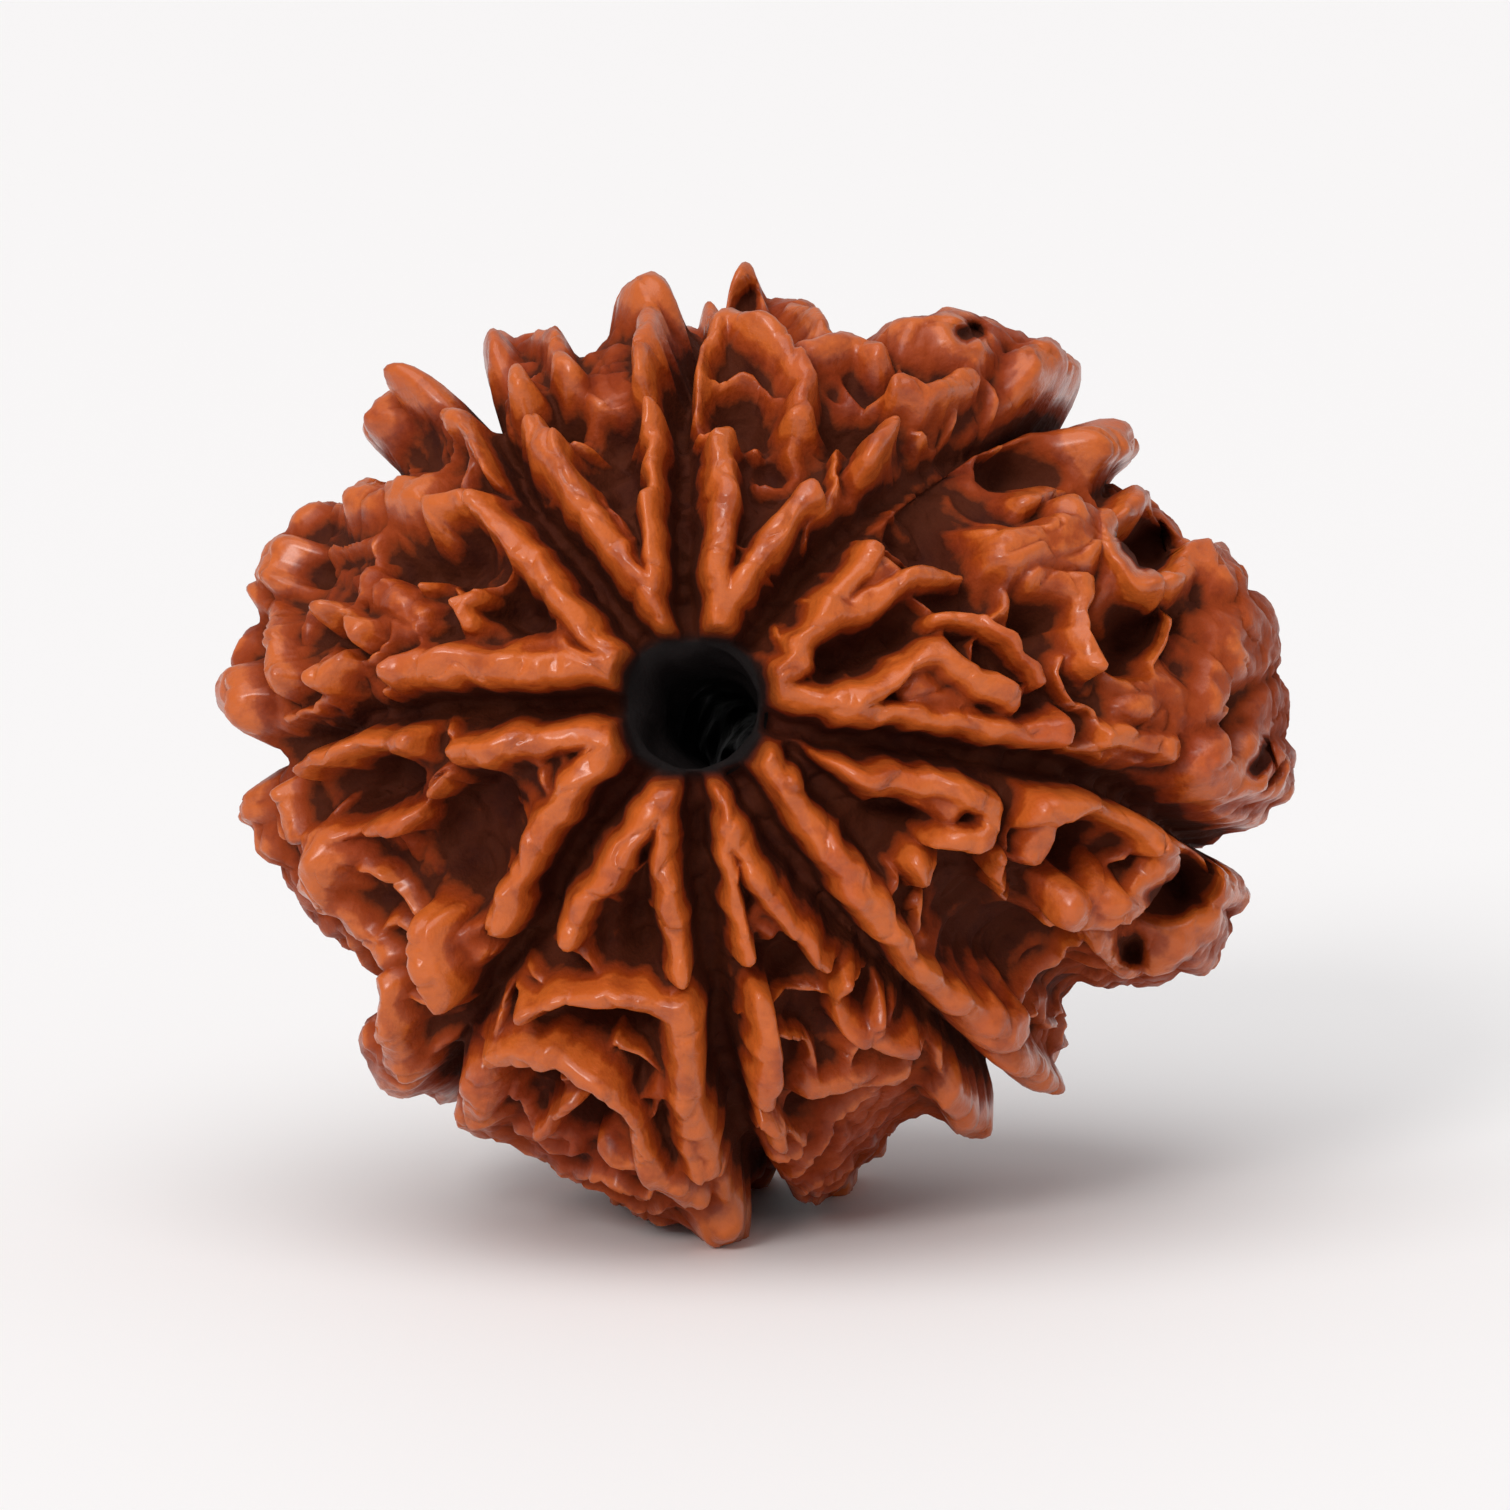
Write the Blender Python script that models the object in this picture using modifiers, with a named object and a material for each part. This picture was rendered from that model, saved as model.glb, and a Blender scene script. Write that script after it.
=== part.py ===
# A rudraksha bead: the ribbed stone of a forest fruit, grown as one piece round a natural hole.
# Eight furrows run from mouth to mouth and part it into eight faces of crests, knobs and pits.
# Lengths are in millimetres and turn into metres once, when a mesh is filled.
# The bead is shaped with its hole along Y, the front mouth facing -Y, X to the right and Z up.
# It is then leaned back and set down on three low knobs, which are worn flat at Z = 0.

import math
import random

import bpy
import numpy as np
from mathutils import noise

MM = 0.001
SEED = 8

BODY_RADIUS = 10.5
BODY_DEPTH = 18.4
MOUTH_SHIFT = np.array((-1.5, 1.1))
MOUTH_RADIUS = 1.5
MOUTH_FADE = 0.42
MOUTH_SINK = 1.2
BORE_RADIUS = 0.95
FUNNEL_DEPTH = 2.2
LEAN_DEGREES = 9.0
WORN_DEPTH = 0.08

RING_STEPS = 300
OUTSIDE_STEPS = 190
BORE_STEPS = 26
TRIANGLES = 11800

FULLNESS = 2.3
FACE_FLOOR = -1.1
RIM_FLOOR = -0.5
FURROW_WIDTH = 0.34
FURROW_DEPTH = 1.7
BLEND = 9.0
CREST_POWER = 4.5
RIM_POWER = 5.0

# Seeded noise, as the size of its lumps and how much it moves or swells what it acts on.
# WINDING raises low winding ridges on the ground between the crests. UNEVEN bends the hollows' edges.
WOBBLE = (1.9, 0.22)
UNSEEN_BEND = (3.7, 0.9)
LUMPS = (1.5, 0.22)
WRINKLES = (0.8, 0.14)
WINDING = (1.5, 0.24, 0.75)
UNEVEN = (0.9, 0.3)
SWELL = (1.2, 0.18, 0.14)

# How far the smooth body reaches from the middle of the outline, by angle.
REACH = (
    (2, 11.9), (14, 11.75), (27, 10.75), (37, 10.3), (47, 10.9), (59, 10.9), (73, 9.9), (92, 10.1),
    (110, 10.1), (130, 10.8), (143, 10.2), (158, 11.1), (176, 11.6), (192, 11.3), (211, 10.5), (221, 11.3),
    (240, 10.9), (257, 11.4), (275, 10.7), (291, 9.5), (307, 10.0), (322, 9.5), (336, 11.3), (350, 11.6),
)

# A place on the front is an angle, anticlockwise from the right, and a distance from the mouth's middle.
FURROWS = (
    ((347, 1.6), (347, 3.0), (349, 5.0), (350, 7.0), (350, 9.0), (348.5, 11.0), (345.5, 12.6)),
    ((50, 1.6), (51, 3.5), (50, 5.5), (47, 7.2), (45, 9.0), (41, 10.3), (38, 11.2)),
    ((93, 1.6), (93, 4.0), (93, 6.0), (93, 7.4), (90, 8.7)),
    ((127, 1.6), (128, 3.5), (129, 5.0), (129, 6.4), (125.5, 8.0)),
    ((180, 1.6), (180, 4.0), (180, 6.2), (182, 8.0), (186, 9.4)),
    ((231, 1.6), (230, 3.0), (231, 4.8), (235, 6.5), (234, 8.2), (236, 10.8)),
    ((271, 1.6), (272, 3.5), (274, 6.0), (275, 8.5), (276, 10.4), (278, 11.8)),
    ((301, 1.6), (301, 3.2), (303, 5.2), (304, 7.0), (306.5, 9.2), (308.5, 11.2)),
)

# Each crest is half its width, its top above the smooth body, and the places that it runs through.
CRESTS = (
    # right face
    (0.42, 0.45, ((12, 1.7), (22, 2.6), (33, 3.5), (38, 4.5), (41, 5.3))),
    (0.36, 0.45, ((28, 2.6), (30, 3.8), (30, 5.2), (28.5, 6.7))),
    (0.50, 0.10, ((35, 4.2), (34, 5.4))),
    (0.50, 0.45, ((2, 1.7), (0, 3.0), (356.5, 4.6), (355, 6.2), (355, 7.4), (355.5, 8.2))),
    (0.42, 0.55, ((0, 3.2), (7, 4.1), (13, 4.8), (11, 5.6), (5, 6.2), (2, 7.0))),
    (0.55, 0.10, ((4, 5.0), (358, 6.2))),
    (0.28, 0.30, ((19, 5.7), (16, 6.7), (11, 7.4), (5, 7.8))),
    (0.80, 0.45, ((28.5, 7.8), (25, 8.7), (22.5, 9.6))),
    (0.60, 0.50, ((27, 9.6), (23, 10.2), (16, 10.1), (13.5, 10.6))),
    (0.38, 0.45, ((20.5, 8.4), (17, 9.3), (11.5, 8.9), (6.5, 8.9))),
    (0.45, 0.55, ((24, 10.7), (24.5, 11.6), (20, 12.1), (16, 11.9), (14.5, 11.1))),
    (0.75, 0.30, ((14, 12.6), (9, 12.5), (4, 12.0), (0, 11.8))),
    (1.10, -0.15, ((2, 10.4), (359, 11.2))),
    (0.60, 0.40, ((353.5, 11.9), (353, 12.7))),
    (0.35, 0.10, ((356, 9.6), (354.5, 11.0))),
    (0.50, 0.25, ((34, 9.8), (36, 11.0), (33, 11.6))),
    (0.30, 0.15, ((32, 8.9), (31.5, 10.2))),
    # upper right face
    (0.40, 0.45, ((72, 1.7), (78, 2.6), (81, 4.0), (83, 5.2), (84, 6.1))),
    (0.42, 0.45, ((72, 1.7), (68, 3.0), (64.5, 4.3), (61.5, 5.4))),
    (0.42, 0.50, ((92, 7.2), (90, 8.1), (84, 8.7), (77, 8.3), (71, 7.8), (71, 7.0))),
    (0.45, 0.35, ((72, 8.3), (67, 8.7), (62, 8.9))),
    (0.45, 0.50, ((53.5, 6.7), (55.5, 7.6))),
    (0.95, 0.55, ((60, 9.6), (54, 10.2), (48.5, 11.0), (44.5, 11.2))),
    (0.40, 0.20, ((57, 8.6), (53, 8.9), (50, 9.8))),
    (0.40, 0.35, ((83.5, 9.7), (77, 9.5), (71, 9.2))),
    # top face
    (0.36, 0.45, ((110, 1.7), (105, 2.7), (102.5, 4.0), (100, 5.5), (98, 6.8))),
    (0.46, 0.45, ((110, 1.7), (115, 2.8), (118, 4.2), (119.5, 5.8), (120.5, 7.3))),
    (0.42, 0.60, ((98.5, 7.5), (96.5, 8.5), (95.8, 9.4))),
    (0.80, -0.20, ((105.5, 7.6), (104.5, 8.6))),
    (0.42, 0.50, ((111, 7.9), (113, 8.9), (118, 9.6))),
    (0.42, 0.50, ((118.5, 8.0), (120, 9.6))),
    # upper left face
    (0.42, 0.45, ((153, 1.7), (144, 2.8), (140.5, 4.0), (138, 5.2), (135, 6.7))),
    (0.55, 0.45, ((153, 1.7), (163, 2.8), (168.5, 3.9), (171.5, 5.2), (173, 6.8))),
    (0.60, 0.10, ((160, 3.2), (162, 4.1))),
    (0.30, 0.15, ((161, 5.4), (156.5, 5.8), (152.5, 5.5))),
    (0.28, 0.10, ((148.5, 6.6), (155, 7.0))),
    (0.36, 0.25, ((137.5, 7.0), (142.5, 7.5), (147, 7.2))),
    (0.75, 0.45, ((143, 7.9), (147.5, 8.6), (153, 9.4), (158, 10.1))),
    (0.38, 0.45, ((164.5, 9.9), (170, 9.6), (176, 9.4))),
    (0.36, 0.40, ((164.5, 8.7), (166, 7.7))),
    (0.52, 0.40, ((172, 8.2), (176, 8.5))),
    (0.70, -0.20, ((163, 7.0), (157, 8.2))),
    (0.45, 0.60, ((128.5, 7.3), (128.5, 8.6), (130.5, 9.9))),
    (0.50, 0.55, ((134.5, 9.2), (134, 10.1))),
    # lower left face
    (0.48, 0.45, ((206, 1.7), (196, 2.7), (193.5, 4.0), (192.5, 5.4))),
    (0.44, 0.50, ((187, 6.6), (187.5, 7.8), (188, 9.0))),
    (0.48, 0.45, ((206, 1.7), (214, 2.8), (218.5, 4.0), (223, 5.2), (228, 6.7))),
    (0.32, 0.30, ((198.5, 5.9), (199.5, 6.4))),
    (0.34, 0.20, ((202.5, 7.0), (200, 8.4), (199, 9.4))),
    (0.32, 0.25, ((191.5, 9.6), (198, 9.6))),
    (0.85, 0.45, ((203.5, 9.2), (206, 9.5))),
    (0.45, 0.10, ((208, 9.2), (214, 9.2), (219, 9.2))),
    (0.55, 0.50, ((219.5, 7.7), (224, 8.3), (229.5, 8.8))),
    (0.45, 0.40, ((222.5, 9.5), (226.5, 10.0), (231, 10.6))),
    # bottom left face
    (0.45, 0.45, ((252, 1.7), (247, 2.9), (243.5, 4.2), (240, 5.9))),
    (0.38, 0.35, ((252, 1.7), (258.5, 3.0), (263, 4.4), (266.5, 6.0))),
    (0.40, 0.50, ((269, 6.7), (261, 6.8), (252, 6.95), (245, 7.2), (242.5, 7.8))),
    (0.58, 0.55, ((268.5, 6.9), (269, 8.2), (270, 9.4), (271.5, 10.4))),
    (0.42, 0.40, ((241, 9.2), (248, 8.4), (256, 8.7), (261, 9.5), (265.5, 10.6), (270, 11.2))),
    (0.55, 0.40, ((240, 9.7), (242, 10.5))),
    (0.30, 0.20, ((252.5, 9.6), (250.5, 10.5))),
    # bottom right face
    (0.34, 0.40, ((286, 1.7), (289, 3.0), (291, 4.4), (295, 5.6), (297, 6.6))),
    (0.30, 0.35, ((286, 1.7), (282.5, 3.4), (282, 4.8), (282, 5.8))),
    (0.42, 0.45, ((283.5, 6.8), (281.5, 8.0), (280.5, 9.0))),
    (0.30, 0.20, ((280, 9.7), (281, 10.3))),
    (0.32, 0.25, ((298.5, 7.3), (296.5, 8.2), (299.5, 8.9), (302.5, 9.4))),
    (0.26, 0.20, ((302, 7.7), (299.5, 8.5))),
    (0.38, 0.10, ((288, 9.2), (294, 9.3), (299, 9.8))),
    (0.80, -0.20, ((293, 10.2), (290, 11.0))),
    # lower right face
    (0.58, 0.45, ((322, 1.8), (317.5, 3.0), (314, 4.3), (311, 5.8))),
    (0.46, 0.50, ((311, 5.8), (310, 7.3), (310.5, 8.6), (312, 9.6))),
    (0.70, 0.60, ((312, 9.8), (314, 10.2))),
    (0.40, 0.45, ((336, 3.2), (338.5, 4.6), (342, 6.0), (341, 7.0), (336, 7.1), (330, 6.1))),
    (0.50, 0.10, ((336, 4.6), (338, 6.2))),
    (0.34, 0.25, ((323.5, 6.1), (323, 6.6))),
    (0.26, 0.15, ((334, 7.8), (329.5, 8.1), (326, 8.6))),
    (0.45, 0.50, ((342.5, 8.0), (347, 9.3), (346, 10.4), (343, 11.2), (339, 11.2), (335.5, 10.9))),
    (0.40, 0.20, ((342, 8.2), (337, 8.4))),
    (0.80, 0.55, ((333.5, 9.8), (334, 10.4))),
    (0.35, 0.15, ((330, 10.8), (328.5, 11.6))),
    (0.50, 0.30, ((338, 12.7), (334.5, 12.4), (331, 12.1))),
)

# Each pit is its radius, its depth below the smooth body, and the places that it runs through.
PITS = (
    (0.55, 2.3, ((18.5, 11.0),)),
    (0.60, 2.2, ((11.5, 9.9), (8, 10.4))),
    (0.55, 1.9, ((15, 8.3),)),
    (0.38, 1.6, ((19, 3.4), (19.5, 5.0))),
    (0.35, 1.4, ((357, 12.3),)),
    (0.90, 2.0, ((36, 7.0), (41, 8.4))),
    (0.50, 2.0, ((36.5, 9.5), (34.5, 10.2))),
    (0.55, 2.0, ((81, 7.4), (79, 7.0))),
    (0.55, 2.0, ((64, 7.7), (62, 7.5))),
    (0.50, 1.6, ((73, 6.0),)),
    (0.45, 1.9, ((82, 9.2), (78, 9.0))),
    (0.45, 1.7, ((107, 5.4), (106.5, 7.0))),
    (0.38, 1.8, ((114.5, 7.6),)),
    (0.60, 2.0, ((152, 4.7),)),
    (0.55, 1.8, ((147, 6.4), (152, 7.8))),
    (0.42, 2.0, ((160, 9.5),)),
    (0.42, 1.9, ((167.5, 8.4),)),
    (0.50, 2.1, ((137.5, 8.5),)),
    (0.90, 2.3, ((206, 5.6), (213, 6.8))),
    (0.60, 2.1, ((193, 7.6), (196, 8.5))),
    (0.45, 1.8, ((254, 5.2), (257, 6.0))),
    (0.38, 2.0, ((260, 7.5), (249, 7.7))),
    (0.42, 2.0, ((247, 9.7),)),
    (0.48, 2.1, ((258, 9.8), (254, 10.5))),
    (0.40, 1.7, ((290, 6.2), (292, 6.9))),
    (0.42, 1.6, ((288, 9.9),)),
    (0.40, 1.6, ((300, 7.9),)),
    (0.48, 2.1, ((327.5, 5.2), (330, 5.4))),
    (0.30, 1.6, ((333, 2.6), (325, 4.4), (321, 5.6))),
    (0.60, 1.6, ((326, 7.4), (321, 9.0), (323, 9.8))),
    (0.55, 2.3, ((339.5, 9.6),)),
    (0.60, 2.1, ((340, 12.0), (337, 11.9))),
)

# Ridges that run over the rim: an angle and a reach from the front mouth's middle, half a width,
# and the latitudes in degrees, negative towards the front, where the ridge starts and ends.
RIM_RIDGES = (
    (348.5, 13.6, 0.60, -14, 16), (354, 14.15, 0.95, -22, 16), (0.5, 13.85, 1.05, -8, 24),
    (7.5, 13.75, 1.10, -14, 22), (14, 13.15, 0.80, -12, 20), (22, 11.75, 0.82, -10, 18),
    (34.3, 12.25, 0.80, -14, 14), (39, 11.5, 0.50, -10, 14),
    (44, 11.95, 0.95, -16, 20), (50, 11.4, 0.90, -10, 26), (57.5, 10.5, 0.90, -12, 18),
    (64, 9.85, 0.70, -6, 24), (70.5, 9.5, 0.75, 0, 26), (76.5, 9.85, 0.80, 0, 26),
    (86.4, 10.8, 0.84, -2, 22), (94, 9.5, 0.50, -8, 14),
    (95.9, 10.05, 0.98, -14, 18), (113.5, 9.35, 0.72, -10, 24),
    (122, 10.1, 0.85, -14, 18), (128, 11.0, 0.86, -14, 18), (135.5, 10.3, 0.85, -8, 24),
    (149.5, 9.45, 0.85, -8, 26), (155.5, 10.25, 0.75, -4, 20), (161.5, 10.65, 0.78, -12, 22),
    (167.5, 10.75, 0.70, -6, 26), (173, 10.85, 0.70, -6, 20), (179.3, 11.1, 0.95, -18, 20),
    (191, 10.95, 0.78, -12, 24), (197, 10.7, 0.74, -10, 18), (204, 10.3, 0.90, -10, 26),
    (211, 10.05, 0.75, -6, 22), (217, 9.75, 0.60, -4, 18), (225.5, 10.9, 0.58, -14, 14),
    (231, 11.35, 0.90, -18, 18), (238.5, 11.4, 0.64, -10, 14),
    (242, 11.15, 0.75, -14, 22),
    (249, 10.85, 0.60, -6, 28), (257, 11.1, 0.65, -4, 20), (266, 11.6, 0.70, 6, 26),
    (274.5, 12.4, 0.62, -20, 6), (285.5, 11.7, 0.80, -14, 28), (293, 11.0, 0.50, 2, 28),
    (303.5, 12.15, 0.50, -16, 16), (311.2, 12.65, 0.70, -16, 20), (318, 11.05, 0.50, -6, 24),
    (329.5, 12.75, 0.78, -12, 16), (335.5, 13.7, 0.88, -12, 24), (342.5, 13.85, 0.84, -14, 16),
)

# Notches in the rim between those ridges, given in the same way.
RIM_NOTCHES = (
    (27.3, 11.1, 0.35, -8, 26), (37.6, 11.0, 0.28, -12, 24), (67.5, 9.2, 0.50, -14, 24),
    (90.3, 8.7, 0.34, -16, 10), (107.5, 8.3, 0.44, -14, 30), (124.5, 7.6, 0.48, -28, 34),
    (149.5, 9.2, 0.30, -12, 34), (169, 10.3, 0.30, -10, 24), (186.7, 8.5, 0.54, -14, 30),
    (200, 10.2, 0.35, -8, 20), (221, 9.5, 0.50, -8, 34), (235, 11.1, 0.25, -10, 24),
    (278.5, 11.4, 0.40, -14, 24), (298, 10.9, 0.48, -8, 30), (308.5, 11.1, 0.32, -10, 30),
    (322.5, 11.0, 0.36, -14, 30), (346, 12.7, 0.25, -14, 26),
)
RIM_PLACES = 7

# Hollows near the rim, sunk straight back along the hole: an angle and a distance from the front
# mouth's middle, a radius, a depth, and how far the lip round it stands out.
HOLLOWS = (
    (19.7, 11.1, 0.52, 1.8, 0.55), (354.5, 13.2, 0.36, 1.0, 0.15), (341, 12.2, 0.50, 1.5, 0.30),
    (338.5, 11.7, 0.48, 1.4, 0.20), (54, 10.7, 0.30, 0.9, 0.10), (330.5, 11.6, 0.34, 1.0, 0.10),
    (83.5, 9.6, 0.34, 1.0, 0.10), (9.5, 10.2, 0.55, 1.2, 0.15),
)

# The three low knobs that it stands on: an angle and a latitude on the body, and half a width.
# Their tips are TABLE_DEPTH below the body's middle, measured square to the table.
FEET = ((268, -7, 1.0), (253, 28, 0.95), (276, 33, 0.95))
TABLE_DEPTH = 11.05

# The unseen back follows one rule for each face: two ribs from the mouth, a bar between them, then
# knobs and pits.
BACK_RIB_WIDTH = 0.46
BACK_RIB_TOP = 0.45
BACK_RIB_ENDS = (38, 52)
BACK_KNOBS = 5
BACK_PITS = 3

MATERIAL_COLOR = (0.42, 0.13, 0.035, 1.0)
MATERIAL_ROUGHNESS = 0.48


def body_reach(angles):
    """Radius of the smooth body's outline at angles in radians, eased between the values of REACH."""
    marks = np.radians([degrees for degrees, _ in REACH])
    radii = np.array([radius for _, radius in REACH])
    marks = np.concatenate((marks, [marks[0] + math.tau]))
    radii = np.concatenate((radii, [radii[0]]))
    turned = np.mod(angles - marks[0], math.tau) + marks[0]
    index = np.clip(np.searchsorted(marks, turned, side="right") - 1, 0, len(radii) - 2)
    share = (turned - marks[index]) / (marks[index + 1] - marks[index])
    eased = share * share * (3 - 2 * share)
    return radii[index] + (radii[index + 1] - radii[index]) * eased


def body_points(angle, radius, height):
    """Points of the smooth body, from a radius and a height towards the front on the turned shape."""
    stretch = 1 + (body_reach(angle) / BODY_RADIUS - 1) * radius / BODY_RADIUS
    shift = height / (BODY_DEPTH / 2)
    x = MOUTH_SHIFT[0] * shift + radius * stretch * np.cos(angle)
    z = MOUTH_SHIFT[1] * shift + radius * stretch * np.sin(angle)
    return np.stack((x, -height, z), axis=-1)


def profile_at(latitude):
    """(radius, height towards the front) of the turned shape, a little fuller than an ellipse."""
    power = 2 / FULLNESS
    radius = BODY_RADIUS * np.abs(np.cos(latitude)) ** power
    height = BODY_DEPTH / 2 * np.abs(np.sin(latitude)) ** power
    return radius, -np.sign(latitude) * height


def on_front(degrees, distance):
    """(angle, latitude from the rim) of a place on the front, given by its angle and its distance."""
    turn = math.radians(degrees)
    seen = MOUTH_SHIFT + distance * np.array((math.cos(turn), math.sin(turn)))
    rise = 0.8
    share = 0.5
    for _ in range(30):
        out = seen - MOUTH_SHIFT * rise
        angle = math.atan2(out[1], out[0])
        reach = float(body_reach(np.array(angle)))
        share = min(1.0, np.hypot(*out) / (BODY_RADIUS + (reach - BODY_RADIUS) * share))
        rise = 0.5 * rise + 0.5 * (1 - share ** FULLNESS) ** (1 / FULLNESS)
    return angle, -math.acos(share ** (FULLNESS / 2))


def on_body(angle, latitude):
    """The smooth body's points at angles and latitudes in radians, negative towards the front."""
    radius, height = profile_at(latitude)
    return body_points(angle, radius, height)


def outward_at(angle, latitude):
    """Unit normals of the smooth body, from two short steps along it."""
    step = 0.01
    around = on_body(angle + step, latitude) - on_body(angle - step, latitude)
    along = on_body(angle, latitude - step) - on_body(angle, latitude + step)
    normal = np.cross(around, along)
    return normal / np.linalg.norm(normal, axis=-1, keepdims=True)


def front_path(places):
    return [on_body(*on_front(*place)) for place in places]


def meridian(angle, first, last, step=6):
    """Points over the rim at one angle in radians, between two latitudes in degrees."""
    count = max(2, round(abs(last - first) / step) + 1)
    return [on_body(angle, math.radians(latitude)) for latitude in np.linspace(first, last, count)]


def rim_paths(rows):
    """(half width, top, path) of each ridge or notch over the rim, which is seen to reach its place."""
    made = []
    for degrees, reach, half_width, first, last in rows:
        turn = math.radians(degrees)
        tip = MOUTH_SHIFT + reach * np.array((math.cos(turn), math.sin(turn)))
        tops, path = [], []
        for latitude in np.radians(np.linspace(first, last, RIM_PLACES)):
            radius, height = profile_at(latitude)
            out = tip - MOUTH_SHIFT * height / (BODY_DEPTH / 2)
            angle = math.atan2(out[1], out[0])
            stretch = 1 + (float(body_reach(np.array(angle))) / BODY_RADIUS - 1) * radius / BODY_RADIUS
            tops.append((np.hypot(*out) - radius * stretch) / math.cos(latitude))
            path.append(on_body(angle, latitude))
        made.append((half_width, min(tops), path))
    return made


def feet_paths():
    """(half width, top, path) of each low knob, its top on the table that the leaned bead stands on."""
    lean = math.radians(LEAN_DEGREES)
    down = np.array((0.0, math.sin(lean), -math.cos(lean)))
    made = []
    for degrees, latitude, half_width in FEET:
        angle, middle = math.radians(degrees), math.radians(latitude)
        outward = outward_at(angle, middle)
        top = (TABLE_DEPTH - on_body(angle, middle) @ down) / (outward @ down)
        made.append((half_width, top, meridian(angle, latitude - 3, latitude + 3)))
    return made


def furrow_paths():
    """Each furrow follows its places over the front, then runs on at one angle to the back mouth."""
    paths = []
    for places in FURROWS:
        angle, _ = on_front(*places[-1])
        paths.append(front_path(places) + meridian(angle, 6, 82))
    return paths


def back_features():
    """Crests and pits of the back, set out face by face from the furrows' angles at the rim."""
    draw = random.Random(SEED)
    rims = sorted(on_front(*places[-1])[0] % math.tau for places in FURROWS)
    crests, pits = [], []
    for first, last in zip(rims, rims[1:] + [rims[0] + math.tau]):
        def across(share):
            return first + (last - first) * share

        ends = [draw.uniform(*BACK_RIB_ENDS) for _ in range(2)]
        for side, end in zip((0.24, 0.76), ends):
            spread = [0.5 + (side - 0.5) * reach for reach in (0.15, 0.7, 1.0, 1.0)]
            latitudes = (80, 68, (68 + end) / 2, end)
            path = [on_body(across(s), math.radians(t)) for s, t in zip(spread, latitudes)]
            crests.append((BACK_RIB_WIDTH, BACK_RIB_TOP, path))
            knob = end - draw.uniform(9, 13)
            wide = draw.uniform(0.06, 0.12) * (1 if side > 0.5 else -1)
            places = ((side, knob), (side + wide, knob - 14))
            path = [on_body(across(s), math.radians(t)) for s, t in places]
            crests.append((draw.uniform(0.5, 0.7), draw.uniform(0.3, 0.6), path))
        bar = min(ends) - draw.uniform(2, 6)
        path = [on_body(across(s), math.radians(bar + t)) for s, t in ((0.28, 0), (0.5, 3), (0.72, 0))]
        crests.append((0.40, 0.30, path))
        for _ in range(BACK_KNOBS):
            share, latitude = draw.uniform(0.14, 0.86), draw.uniform(10, 38)
            turn = draw.uniform(0, math.pi)
            far = (share + 0.09 * math.cos(turn), latitude + 7 * math.sin(turn))
            path = [on_body(across(s), math.radians(t)) for s, t in ((share, latitude), far)]
            crests.append((draw.uniform(0.35, 0.6), draw.uniform(0.15, 0.55), path))
        for _ in range(BACK_PITS):
            place = on_body(across(draw.uniform(0.3, 0.7)), math.radians(draw.uniform(12, 58)))
            pits.append((draw.uniform(0.4, 0.7), draw.uniform(1.5, 2.1), [place]))
    return crests, pits


def distance_to(points, path):
    """How far each point is from a chain of straight steps, or from the one place of a short path."""
    if len(path) == 1:
        return np.linalg.norm(points - path[0], axis=1)
    nearest = np.full(len(points), np.inf)
    for start, end in zip(path, path[1:]):
        along = end - start
        share = np.clip(np.sum((points - start) * along, axis=1) / np.sum(along * along), 0, 1)
        gap = np.linalg.norm(points - start - share[:, None] * along, axis=1)
        nearest = np.minimum(nearest, gap)
    return nearest


def rounded(gap, half_width, power):
    """One on a crest's line, a half at its half width, and nothing far off; squarer at a higher power."""
    return 1 / (1 + (gap / half_width) ** power)


def noise_at(points, size):
    return np.array([noise.noise(point / size) for point in points])


def floor_of(height):
    """How deep the ground between the crests lies: deepest in the faces, and less at the rim."""
    rim = np.clip(1.5 - 2.2 * np.abs(height) / (BODY_DEPTH / 2), 0, 1)
    return FACE_FLOOR + (RIM_FLOOR - FACE_FLOOR) * rim


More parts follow.
